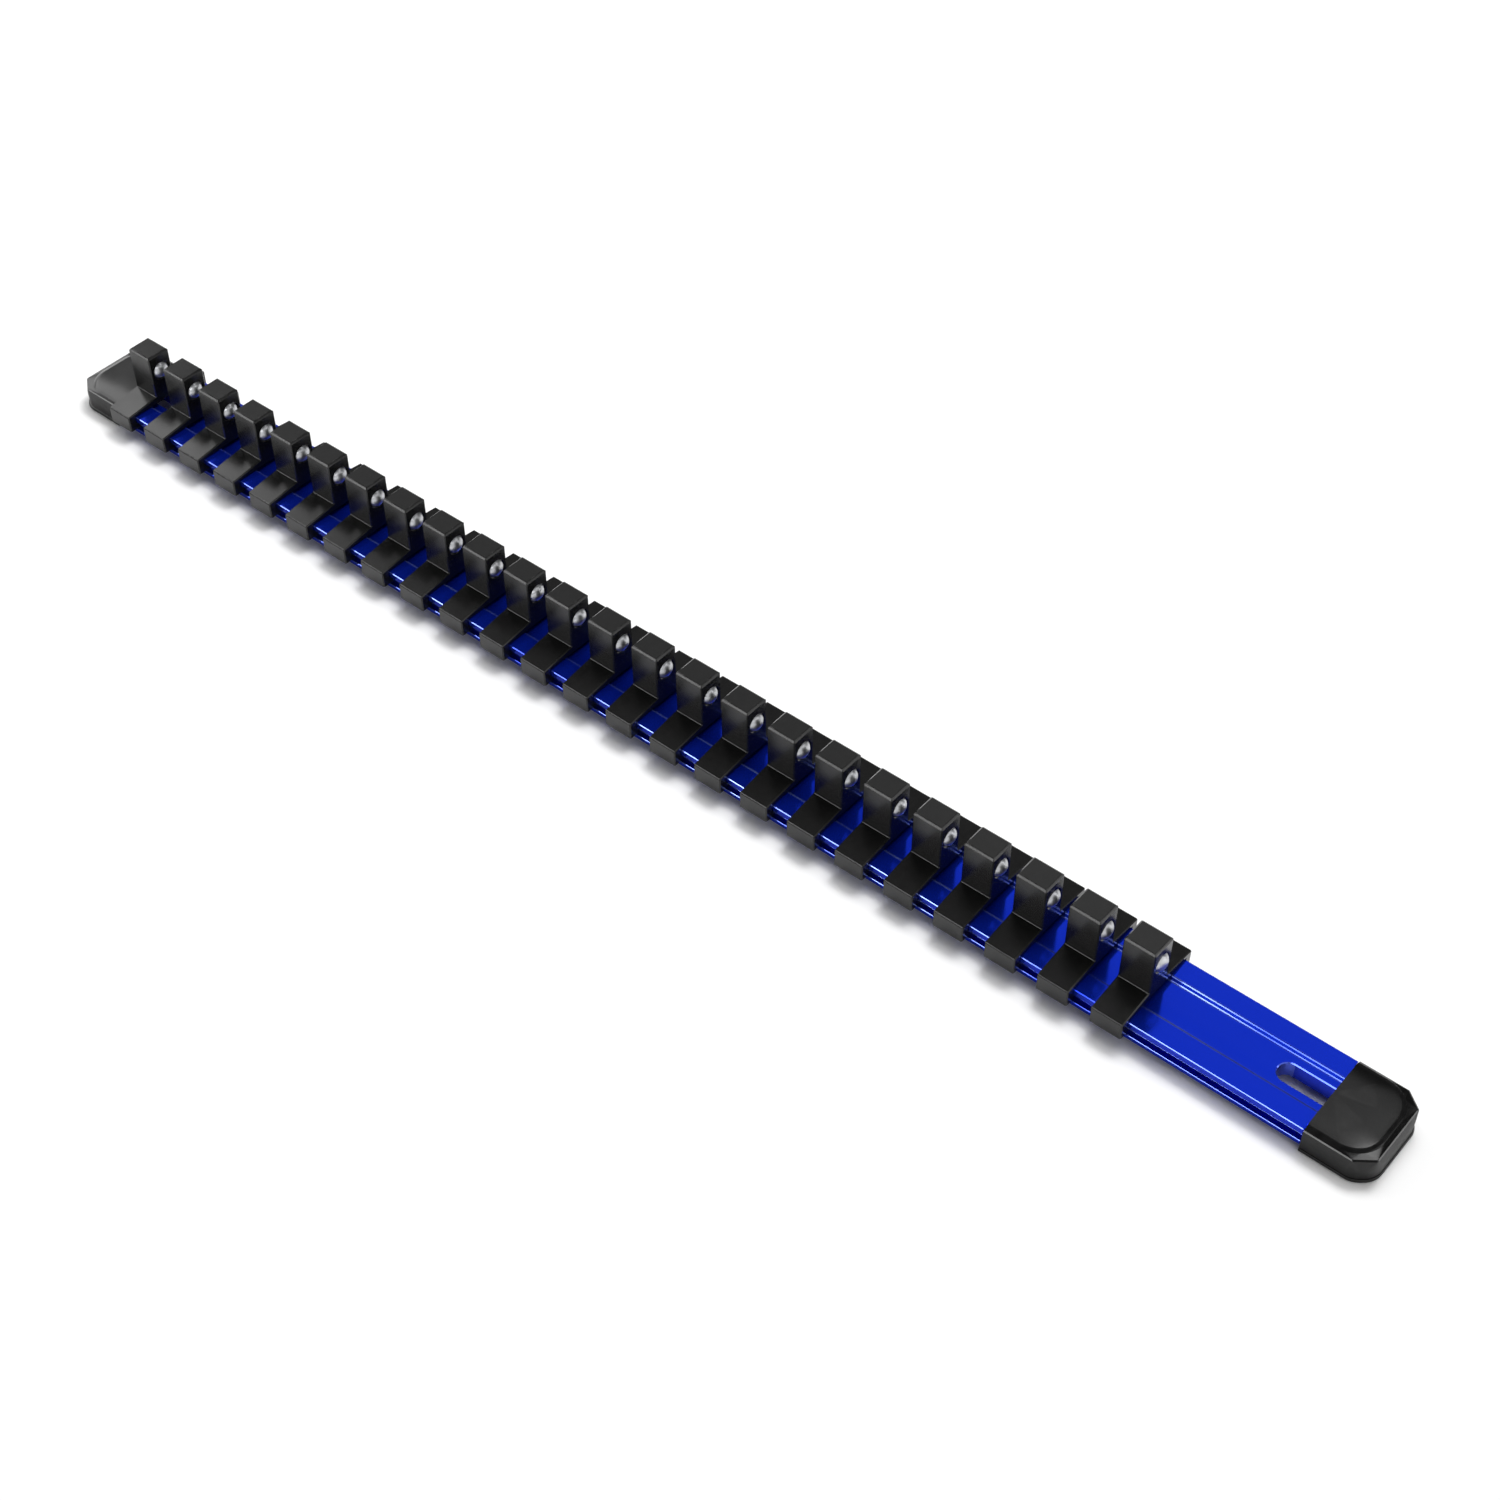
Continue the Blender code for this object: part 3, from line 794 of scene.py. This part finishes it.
@dataclass
class RailExtrusion:
    """The blue rail: an extrusion with a channel on top, a groove along each side, and a slot near each end."""

    layout: Layout
    upper_lip: float = 0.0018
    lower_lip: float = 0.0014
    groove_depth: float = 0.0019
    outer_chamfer: float = 0.00016
    lip_chamfer: float = 0.0001
    facet: float = 0.00026
    channel_round: float = 0.0003
    small_round: float = 0.00003
    groove_round: float = 0.00025
    slot_half_width: float = 0.003
    slot_open_length: float = 0.0146
    slot_hidden_length: float = 0.006
    slot_rim: float = 0.00026
    slot_cutter_rise: float = 0.003
    slot_steps: int = 20
    arc_steps: int = 3
    widest_rim: float = 0.0006
    sharp_angle: float = 35

    def section(self) -> list[Point]:
        """Return the section's outline in Y and Z."""
        low, high, side = self.layout.rail_bottom, self.layout.rail_top, self.layout.rail_half_width
        wall = side - self.groove_depth
        channel, floor = self.layout.channel_half_width, self.layout.channel_floor_half_width
        channel_bottom = high - self.layout.channel_depth
        cut, lip, facet, small = self.outer_chamfer, self.lip_chamfer, self.facet, self.small_round
        right_half = [
            Corner(side - cut, low, small),
            Corner(side, low + cut, small),
            Corner(side, low + self.lower_lip - lip, small),
            Corner(side - lip, low + self.lower_lip, small),
            Corner(wall, low + self.lower_lip, self.groove_round),
            Corner(wall, high - self.upper_lip, self.groove_round),
            Corner(side - lip, high - self.upper_lip, small),
            Corner(side, high - self.upper_lip + lip, small),
            Corner(side, high - cut, small),
            Corner(side - cut, high, small),
            Corner(channel + facet / 3, high, self.channel_round),
            Corner(channel - facet * 2 / 3, high - facet, small),
            Corner(floor + facet * 2 / 3, channel_bottom + facet, small),
            Corner(floor - facet / 3, channel_bottom, self.channel_round),
        ]
        return rounded_outline(both_halves(right_half), self.arc_steps)

    def die(self) -> bpy.types.Object:
        """Return the section as a closed curve for the extrusion tree."""
        curve = bpy.data.curves.new("rail_section", "CURVE")
        curve.dimensions = "2D"
        spline = curve.splines.new("POLY")
        points = self.section()
        spline.points.add(len(points) - 1)
        for target, (y, z) in zip(spline.points, points):
            target.co = (-y, -z, 0, 1)
        spline.use_cyclic_u = True
        return helper("rail_section", curve)

    def slot_ring(self, side: Side, widening: float, height: float) -> Ring:
        """Return a slot's outline at one height.

        Args:
            side: The rail's end.
            widening: How much wider than the slot the outline is on each side.
            height: The outline's height.

        Returns:
            The outline's points.
        """
        inner = self.layout.rim_x - self.slot_open_length + self.slot_half_width
        outer = self.layout.rim_x + self.slot_hidden_length - self.slot_half_width
        radius = self.slot_half_width + widening
        points = []
        for centre, start in ((outer, -math.pi / 2), (inner, math.pi / 2)):
            for step in range(self.slot_steps + 1):
                turn = start + math.pi * step / self.slot_steps
                along = centre + radius * math.cos(turn)
                points.append(Vector((side.value * along, radius * math.sin(turn), height)))
        return points

    def slot_cutter(self, side: Side) -> bpy.types.Object:
        """Return the body that is milled out of the rail, with a chamfered rim at its top and its bottom."""
        floor = self.layout.rail_top - self.layout.channel_depth
        low = self.layout.rail_bottom
        rim = quarter_round(self.slot_rim, 1)
        rings = [self.slot_ring(side, self.slot_rim, low - OVERSHOOT)]
        rings += [self.slot_ring(side, inset, low + self.slot_rim - rise) for inset, rise in reversed(rim)]
        rings += [self.slot_ring(side, inset, floor - self.slot_rim + rise) for inset, rise in rim]
        rings.append(self.slot_ring(side, self.slot_rim, floor + self.slot_cutter_rise))
        return helper(f"slot_cutter_{side.name.lower()}", loft("slot_cutter", rings))

    def neck_cutter(self, end: Side, flank: Side) -> bpy.types.Object:
        """Return the body that is cut off one flank of the rail where it goes into a cap."""
        over = OVERSHOOT
        top, neck, corner = self.layout.rail_top, self.layout.neck_half_width, self.layout.neck_corner
        section = [
            (neck, self.layout.rail_bottom - over),
            (self.layout.rail_half_width + over, self.layout.rail_bottom - over),
            (self.layout.rail_half_width + over, top + over),
            (neck - corner - over, top + over),
            (neck, top - corner),
        ]
        section = [(y * flank.value, z) for y, z in section]
        near = (self.layout.rim_x - self.layout.gap) * end.value
        far = (self.layout.rim_x + self.layout.cap_depth + over) * end.value
        name = f"neck_cutter_{end.name.lower()}_{flank.name.lower()}"
        return helper(name, bar_along_x(name, section, near, far))

    def build(self, finishes: Finishes) -> bpy.types.Object:
        """Extrude the rail, mill its slots and necks, and put it on its body.

        Args:
            finishes: The finishes.

        Returns:
            The rail.
        """
        die = self.die()
        length = 2 * (self.layout.rim_x + self.layout.cap_depth)
        rail = ExtrusionTree().grow("rail_extrusion", Section=die, Length=length, Finish=finishes.rail)
        cutters = [self.slot_cutter(side) for side in Side]
        cutters += [self.neck_cutter(end, flank) for end in Side for flank in Side]
        for cutter in cutters:
            subtract(rail, cutter)
        settle(rail)
        mark_rims(rail.data, self.widest_rim)
        shade(rail, self.sharp_angle)
        discard(die, *cutters)
        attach(rail, BodyName.RAIL)
        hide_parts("rail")
        return rail


@dataclass
class EndCap:
    """A soft cap: a body that flares to its foot, a ledge, and a raised panel with round corners."""

    layout: Layout
    side: Side
    length: float = 0.01879
    half_width: float = 0.0135
    ledge_height: float = 0.00775
    panel_top: float = 0.0089
    side_flare: float = 0.0003
    end_flare: float = 0.0009
    foot_round: float = 0.0003
    corner_length: float = 0.0046
    corner_width: float = 0.0036
    upright_round: float = 0.0006
    foot_upright_round: float = 0.006
    band_height: float = 0.00095
    band_lean: float = 0.00022
    band_step: float = 0.00014
    belly_height: float = 0.0026
    wall_shares: tuple[float, ...] = (0.0, 0.25, 0.5, 0.75, 0.97, 1.0)
    flare_power: float = 1.7
    edge_chamfer: float = 0.0003
    chamfer_shares: tuple[float, ...] = (0.04, 0.96)
    ledge_lift: float = 0.00001
    ledge_start: float = 1.1
    ledge_slope: float = 0.00022
    panel_inset: float = 0.0007
    panel_end_inset: float = 0.0014
    panel_radius: float = 0.0085
    smallest_radius: float = 0.0004
    panel_first_tilt: float = 8.0
    panel_last_tilt: float = 32.0
    crown: float = 0.00042
    crown_power: float = 3.0
    crown_shares: tuple[float, ...] = (0.93, 0.8, 0.65, 0.5, 0.35, 0.2, 0.08)
    foot_steps: int = 6
    panel_steps: int = 12
    arc_steps: int = 8
    widest_rim: float = 0.0004
    steepest_wall: float = 0.5
    sharp_angle: float = 38

    def body_ring(self, height: float, inset: float, flare: float) -> Ring:
        """Return the body's outline at one height, open towards the rail.

        Args:
            height: The outline's height.
            inset: How far it is drawn in by a rounded edge.
            flare: Share of the flare that it has lost, from 0 at the foot to 1 at the ledge.

        Returns:
            The outline's points, from the front of the rim to its back.
        """
        width = self.half_width - inset - self.side_flare * flare
        reach = self.length - inset - self.end_flare * flare
        radius = self.foot_upright_round + (self.upright_round - self.foot_upright_round) * flare
        corners = [
            Corner(0, -width),
            Corner(reach - self.corner_length, -width, radius),
            Corner(reach, -(width - self.corner_width), radius),
            Corner(reach, width - self.corner_width, radius),
            Corner(reach - self.corner_length, width, radius),
            Corner(0, width),
        ]
        return self.placed(rounded_outline(corners, self.arc_steps), height)

    def panel_ring(self, height: float, inset: float) -> Ring:
        """Return the panel's outline at one height, with as many points as the body's."""
        width = self.half_width - self.side_flare - self.panel_inset - inset
        reach = self.length - self.end_flare - self.panel_end_inset - inset
        radius = max(self.panel_radius - inset, self.smallest_radius)
        corners = [Corner(0, -width), Corner(reach, -width, radius), Corner(reach, width, radius), Corner(0, width)]
        return self.placed(rounded_outline(corners, 2 * self.arc_steps + 1), height)

    def placed(self, outline: list[Point], height: float) -> Ring:
        """Put an outline, given from the rim outwards, in its place on the right end."""
        return [Vector((self.layout.rim_x + x, y, height)) for x, y in outline]

    def panel_fall(self, rise: float, steps: int) -> list[Point]:
        """Return the inset and the rise of the panel's rounded edge, an arc between its two tilts.

        Args:
            rise: How far the arc rises.
            steps: Number of chords.

        Returns:
            Pairs of inset and rise, from the ledge upwards.
        """
        first, last = math.radians(self.panel_first_tilt), math.radians(self.panel_last_tilt)
        radius = rise / (math.cos(first) - math.cos(last))
        tilts = [last + (first - last) * step / steps for step in range(steps + 1)]
        sine, cosine = math.sin(last), math.cos(last)
        return [(radius * (sine - math.sin(tilt)), radius * (math.cos(tilt) - cosine)) for tilt in tilts]

    def wall_rings(self) -> list[Ring]:
        """Return the outlines of the foot band, the wall and the chamfer at the ledge."""
        foot = quarter_round(self.foot_round, self.foot_steps)
        rings = [self.body_ring(self.foot_round - rise, inset, 0) for inset, rise in reversed(foot)]
        drawn_in = self.band_lean + self.band_step
        rings.append(self.body_ring(self.band_height, self.band_lean, 0))
        rings.append(self.body_ring(self.band_height + self.band_step / 3, drawn_in, 0))
        wall_top = self.ledge_height - self.edge_chamfer
        for share in self.wall_shares:
            height = self.belly_height + (wall_top - self.belly_height) * share
            rings.append(self.body_ring(height, drawn_in * (1 - share), share**self.flare_power))
        for share in self.chamfer_shares:
            rings.append(self.body_ring(wall_top + self.edge_chamfer * share, self.edge_chamfer * share, 1))
        rings.append(self.body_ring(self.ledge_height + self.ledge_lift, self.edge_chamfer * self.ledge_start, 1))
        return rings

    def rings(self) -> list[Ring]:
        """Return the outlines from the foot to the middle of the panel."""
        base = self.ledge_height + self.ledge_slope
        rings = self.wall_rings()
        fall = self.panel_fall(self.panel_top - self.crown - base, self.panel_steps)
        rings += [self.panel_ring(base + rise, inset) for inset, rise in fall]
        edge, rim = rings[-1], self.layout.rim_x
        for share in self.crown_shares:
            height = edge[0].z + self.crown * (1 - share**self.crown_power)
            rings.append([Vector((rim + (point.x - rim) * share, point.y * share, height)) for point in edge])
        return rings

    def socket_cutter(self) -> bpy.types.Object:
        """Return the space for the rail's neck, with a key left in its channel."""
        layout, gap = self.layout, self.layout.gap
        top, neck, corner = layout.rail_top, layout.neck_half_width, layout.neck_corner
        slack = gap * (math.sqrt(2) - 1)
        right_half = [
            Corner(neck + gap, layout.rail_bottom - gap),
            Corner(neck + gap, top - corner + slack),
            Corner(neck - corner + slack, top + gap),
            Corner(layout.channel_half_width - gap, top + gap),
            Corner(layout.channel_floor_half_width - gap, top - layout.channel_depth + gap),
        ]
        section = rounded_outline(both_halves(right_half), 1)
        near = layout.rim_x - OVERSHOOT
        far = layout.rim_x + layout.cap_depth + gap
        return helper("cap_socket", bar_along_x("cap_socket", section, near, far))

    def build(self, finishes: Finishes) -> bpy.types.Object:
        """Mould the cap, and turn it half round for the left end.

        Args:
            finishes: The finishes.

        Returns:
            The cap.
        """
        label = self.side.name.lower()
        cap = new_object(f"cap_{label}_moulding", loft("cap_shell", self.rings(), flat_side=True))
        cap.data.materials.append(finishes.cap)
        socket = self.socket_cutter()
        subtract(cap, socket)
        settle(cap)
        discard(socket)
        if self.side is Side.LEFT:
            cap.data.transform(Matrix.Rotation(math.pi, 4, "Z"))
        mark_rims(cap.data, self.widest_rim)
        mark_walls(cap.data, self.steepest_wall)
        shade(cap, self.sharp_angle)
        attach(cap, BodyName.RAIL)
        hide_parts(f"end_cap_{label}")
        return cap


@dataclass
class SlidingClip:
    """A clip: a saddle that hooks round both edges of the rail, and a square post with a bore for the ball."""

    layout: Layout
    hook_thickness: float = 0.0024
    edge_thickness: float = 0.0009
    toe_reach: float = 0.0015
    toe_lead_in: float = 0.0006
    groove_bottom: float = 0.003
    groove_top: float = 0.0059
    post_half_depth: float = 0.004
    post_height: float = 0.0144
    post_top_round: float = 0.00062
    edge_round: float = 0.00032
    inner_round: float = 0.0001
    root_round: float = 0.00016
    saddle_depth: float = 0.001
    bore_lip: float = 0.0008
    mouth_chamfer: float = 0.00025
    bore_steps: int = 40
    round_steps: int = 5
    round_profile: float = 0.27
    widest_rim: float = 0.0004
    sharp_angle: float = 32

    @property
    def post_top(self) -> float:
        """Height of the post's top."""
        return self.layout.saddle_root + self.post_height

    def section(self) -> list[Point]:
        """Return the clip's outline seen along the rail."""
        hook = self.layout.rail_half_width + self.layout.gap
        outer, toe = hook + self.hook_thickness, hook - self.toe_reach
        under = self.layout.rail_top + self.layout.gap
        low, high = self.groove_bottom + self.layout.gap, self.groove_top - self.layout.gap
        right_half = [
            Corner(hook, under),
            Corner(hook, high),
            Corner(toe, high),
            Corner(toe, low + self.toe_lead_in),
            Corner(toe + self.toe_lead_in, low),
            Corner(outer, low),
            Corner(outer, under + self.edge_thickness),
            Corner(self.post_half_depth, self.layout.saddle_root),
            Corner(self.post_half_depth, self.post_top),
        ]
        return rounded_outline(both_halves(right_half), 1)

    def edge_width(self, first: Vector, second: Vector) -> float:
        """Return how wide an edge of the blank is rounded.

        Args:
            first: One end of the edge.
            second: Its other end.

        Returns:
            The rounding's width.
        """
        hook, root = self.layout.rail_half_width + self.layout.gap, self.layout.saddle_root
        if min(first.z, second.z) > self.post_top - TOUCH:
            return self.post_top_round
        at_root = abs(first.z - root) + abs(second.z - root) < TOUCH
        if at_root and abs(abs(first.y) - self.post_half_depth) < TOUCH:
            return self.root_round
        between_hooks = max(abs(first.y), abs(second.y)) < hook + TOUCH
        under_saddle = max(first.z, second.z) < root - self.saddle_depth
        return self.inner_round if between_hooks and under_saddle else self.edge_round

    def blank(self) -> bpy.types.Object:
        """Return the clip without its bore, in the middle of the rail, with every edge rounded."""
        half = self.layout.clip_width / 2
        blank = new_object("clip_blank", bar_along_x("clip_blank", self.section(), -half, half))
        weights = blank.data.attributes.new("bevel_weight_edge", "FLOAT", "EDGE")
        for edge in blank.data.edges:
            first, second = (blank.data.vertices[index].co for index in edge.vertices)
            weights.data[edge.index].value = self.edge_width(first, second) / self.post_top_round
        rounding = blank.modifiers.new("rounding", "BEVEL")
        rounding.limit_method = "WEIGHT"
        rounding.width = self.post_top_round
        rounding.segments = self.round_steps
        rounding.profile = self.round_profile
        rounding.miter_outer = "MITER_ARC"
        return settle(blank)

    def bore_cutter(self) -> bpy.types.Object:
        """Return the stepped bore: a chamfered mouth that keeps the ball in, then the bore itself."""
        half, gap, radius = self.layout.clip_width / 2, self.layout.gap, self.layout.ball_radius
        mouth = math.sqrt(radius**2 - (half - self.layout.ball_offset) ** 2) + gap
        profile = [
            (half + OVERSHOOT, mouth + self.mouth_chamfer),
            (half, mouth + self.mouth_chamfer),
            (half - self.mouth_chamfer, mouth),
            (half - self.bore_lip, radius + gap),
            (-half + self.layout.bore_wall, radius + gap),
        ]
        turns = [math.tau * step / self.bore_steps for step in range(self.bore_steps)]
        spokes = [(math.cos(turn), math.sin(turn)) for turn in turns]
        height = self.layout.ball_height
        rings = [[Vector((x, reach * y, height + reach * z)) for y, z in spokes] for x, reach in profile]
        return helper("bore_cutter", loft("bore_cutter", rings))

    def master(self) -> bpy.types.Object:
        """Return one finished clip in the middle of the rail, for the row to copy."""
        clip = self.blank()
        bore = self.bore_cutter()
        subtract(clip, bore)
        settle(clip)
        discard(bore)
        mark_rims(clip.data, self.widest_rim)
        clip.hide_render = True
        return clip

    def build(self, finishes: Finishes, row: RowTree) -> list[bpy.types.Object]:
        """Set a clip at each place in the row.

        Args:
            finishes: The finishes.
            row: The tree that places a piece.

        Returns:
            The clips from left to right.
        """
        master = self.master()
        clips = []
        for index in range(self.layout.clip_count):
            number = index + 1
            clip = row.grow(f"clip_{number:02d}_moulding", Piece=master, First=self.layout.first_clip_x,
                            Pitch=self.layout.clip_pitch, Index=index, Finish=finishes.clip)
            shade(clip, self.sharp_angle)
            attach(clip, BodyName.clip(number))
            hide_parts(f"clip_{number:02d}")
            clips.append(clip)
        discard(master)
        return clips


@dataclass
class Detent:
    """A steel ball in a clip's bore, and the spring that pushes it out."""

    layout: Layout
    coil_radius: float = 0.0018
    wire_radius: float = 0.00022
    turns: float = 5.5
    coil_points: int = 18
    wire_sides: int = 8
    travel: float = 0.0012
    ball_cuts: int = 14

    def ball_mesh(self) -> bpy.types.Mesh:
        """Return the ball as a cube net blown up to a sphere, so that it has no poles."""
        work = bmesh.new()
        bmesh.ops.create_cube(work, size=2)
        bmesh.ops.subdivide_edges(work, edges=work.edges, cuts=self.ball_cuts, use_grid_fill=True)
        for vertex in work.verts:
            spread = Vector([math.tan(part * math.pi / 4) for part in vertex.co])
            vertex.co = spread.normalized() * self.layout.ball_radius
            vertex.co += Vector((self.layout.ball_offset, 0, self.layout.ball_height))
        mesh = finished_mesh("ball_master", work)
        mesh.shade_smooth()
        return mesh

    @property
    def bore_floor(self) -> float:
        """Place of the bore's floor in a clip at the origin."""
        return -self.layout.clip_width / 2 + self.layout.bore_wall

    @property
    def spring_length(self) -> float:
        """Length of the spring between the bore's floor and the back of the ball."""
        seat = self.layout.ball_offset - math.sqrt(self.layout.ball_radius**2 - self.coil_radius**2)
        return seat + self.wire_radius / 2 - self.bore_floor

    def spring_master(self, finishes: Finishes) -> bpy.types.Object:
        """Return one spring in the bore of a clip at the origin."""
        spring = CoilTree().grow("spring_master", Length=self.spring_length, Coil_Radius=self.coil_radius,
                                 Wire_Radius=self.wire_radius, Turns=self.turns, Points=self.coil_points,
                                 Wire_Sides=self.wire_sides, Finish=finishes.spring)
        spring.data.transform(Matrix.Translation((self.bore_floor, 0, self.layout.ball_height)))
        spring.data.shade_smooth()
        spring.hide_render = True
        return spring

    def build(self, finishes: Finishes, row: RowTree) -> list[bpy.types.Object]:
        """Set a ball and a spring in each clip.

        Args:
            finishes: The finishes.
            row: The tree that places a piece.

        Returns:
            The balls and the springs, clip by clip.
        """
        ball_master = helper("ball_master", self.ball_mesh())
        spring_master = self.spring_master(finishes)
        pieces = []
        for index in range(self.layout.clip_count):
            number = index + 1
            places = {"First": self.layout.first_clip_x, "Pitch": self.layout.clip_pitch, "Index": index}
            ball = row.grow(f"ball_{number:02d}", Piece=ball_master, Finish=finishes.ball, **places)
            spring = row.grow(f"spring_{number:02d}", Piece=spring_master, Finish=finishes.spring, **places)
            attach(ball, BodyName.detent(number))
            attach(spring, BodyName.clip(number))
            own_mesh(spring)
            for piece in (ball, spring):
                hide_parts(f"detent_{number:02d}")
                pieces.append(piece)
        discard(ball_master, spring_master)
        return pieces


# The studio


@dataclass(frozen=True)
class SoftBox:
    """A rectangular studio light that faces its target."""

    name: str
    place: Place
    width: float
    depth: float
    brightness: float
    target: Place = (0.0, 0.0, 0.0)
    mirrored: bool = True
    lights_floor: bool = True

    def build(self) -> None:
        """Hang the light and turn it to its target."""
        lamp = bpy.data.lights.new(self.name, "AREA")
        lamp.shape = "RECTANGLE"
        lamp.size, lamp.size_y = self.width, self.depth
        lamp.energy = self.brightness * math.pi * self.width * self.depth
        made = new_object(self.name, lamp)
        made.location = self.place
        made.rotation_euler = (Vector(self.target) - Vector(self.place)).to_track_quat("-Z", "Y").to_euler()
        made.visible_glossy = self.mirrored
        made.visible_diffuse = self.lights_floor


@dataclass(frozen=True)
class Studio:
    """The floor, the lights and the camera."""

    floor_half_size: float = 4.0
    floor_drop: float = 0.00002
    floor_colour: Colour = (0.92, 0.92, 0.92, 1.0)
    floor_roughness: float = 0.9
    sky_strength: float = 0.07
    camera_place: Place = (0.32833094, -0.35008374, 0.48378027)
    camera_turn: Place = (0.76427818, 0.00399649, 0.69555293)
    lens: float = 58.742
    sensor: float = 36.0
    nearest_seen: float = 0.01
    farthest_seen: float = 50.0

    def floor(self) -> None:
        """Lay a plain pale floor under the caps' feet."""
        half = self.floor_half_size
        mesh = bpy.data.meshes.new("studio_floor")
        corners = [(-half, -half), (half, -half), (half, half), (-half, half)]
        mesh.from_pydata([(x, y, -self.floor_drop) for x, y in corners], [], [(0, 1, 2, 3)])
        floor = new_object("studio_floor", mesh)
        material = bpy.data.materials.new("studio_floor")
        material.use_nodes = True
        shader = material.node_tree.nodes["Principled BSDF"]
        shader.inputs["Base Color"].default_value = self.floor_colour
        shader.inputs["Roughness"].default_value = self.floor_roughness
        shader.inputs["Specular IOR Level"].default_value = 0.0
        mesh.materials.append(material)

    def sky(self) -> None:
        """Fill the room with faint, even light."""
        world = bpy.data.worlds.new("studio_room")
        world.use_nodes = True
        sheet = NodeSheet(world.node_tree)
        background = world.node_tree.nodes["Background"]
        sheet.feed(background, "Color", (1, 1, 1, 1))
        sheet.feed(background, "Strength", self.sky_strength)
        bpy.context.scene.world = world

    def camera(self) -> None:
        """Set the camera where the photograph was taken from."""
        data = bpy.data.cameras.new("studio_camera")
        data.lens, data.sensor_width = self.lens, self.sensor
        data.clip_start, data.clip_end = self.nearest_seen, self.farthest_seen
        camera = new_object("studio_camera", data)
        camera.location = self.camera_place
        camera.rotation_euler = self.camera_turn
        bpy.context.scene.camera = camera
        bpy.context.scene.view_settings.view_transform = "Standard"

    @staticmethod
    def lights() -> list[SoftBox]:
        """Return the lights: a diffuser and a key above, strips in front and to the right, and pale walls."""
        return [
            SoftBox("ceiling_diffuser", (-0.15, 0.8, 2.0), 1.9, 1.7, 3.2, mirrored=False),
            SoftBox("back_key", (-0.1, 0.75, 1.75), 0.5, 0.4, 15.0, mirrored=False),
            SoftBox("front_glow", (-0.6, -1.4, 1.02), 3.2, 0.5, 0.8, target=(-0.6, 0.0, 0.0), lights_floor=False),
            SoftBox("front_strip", (-0.6, -1.39, 1.02), 3.2, 0.24, 8.0, target=(-0.6, 0.0, 0.0), lights_floor=False),
            SoftBox("front_wall", (-0.5, -2.2, 0.45), 4.5, 0.9, 0.6, target=(-0.5, 0.0, 0.45)),
            SoftBox("back_wall", (-0.42, 1.6, 2.4), 1.16, 1.4, 0.92, target=(-0.42, 0.0, 2.4)),
            SoftBox("back_wall_left", (-2.0, 1.6, 2.3), 2.0, 1.6, 0.5, target=(-2.0, 0.0, 2.3)),
            SoftBox("left_fade", (-1.257, 0.599, 0.94), 0.083, 0.66, 0.5, target=(-0.24, 0.0, 0.0)),
            SoftBox("left_box", (-1.38, 0.07, 0.95), 1.06, 0.66, 3.8, target=(-0.24, 0.0, 0.0)),
            SoftBox("left_wall", (-1.6, 0.0, 0.3), 1.6, 0.6, 2.2, target=(-0.24, 0.0, 0.3), lights_floor=False),
            SoftBox("right_wall", (1.6, -0.2, 1.0), 2.4, 2.0, 1.0, target=(0.0, -0.2, 1.0)),
            SoftBox("right_strip", (1.42, 0.94, 0.93), 0.25, 1.0, 2.4, target=(0.15, 0.0, 0.93), lights_floor=False),
            SoftBox("right_strip_low", (1.45, 0.92, 0.25), 0.3, 0.3, 5.0, target=(0.2, 0.0, 0.25), lights_floor=False),
            SoftBox("back_fill", (-0.06, 0.67, 1.71), 0.26, 0.45, 1.1, target=(0.225, 0.0, 0.0)),
            SoftBox("back_box", (0.25, 0.82, 1.67), 0.38, 0.36, 6.4, target=(0.24, 0.0, 0.0)),
        ]

    def build(self) -> None:
        """Set up the whole studio."""
        self.floor()
        self.sky()
        self.camera()
        for light in self.lights():
            light.build()


def report(build: Callable[[], list[bpy.types.Object]]) -> None:
    """Build some pieces.

    Args:
        build: Makes the pieces.
    """
    for piece in build():
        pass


def main() -> None:
    """Build the socket rail, piece by piece, in its studio."""
    logging.basicConfig(level=logging.INFO, format="%(name)s: %(message)s")
    layout = Layout()
    finishes = Finishes()
    row = RowTree()
    Studio().build()
    report(lambda: [RailExtrusion(layout).build(finishes)])
    report(lambda: [EndCap(layout, side).build(finishes) for side in Side])
    report(lambda: SlidingClip(layout).build(finishes, row))
    report(lambda: Detent(layout).build(finishes, row))


if __name__ == "__main__":
    main()
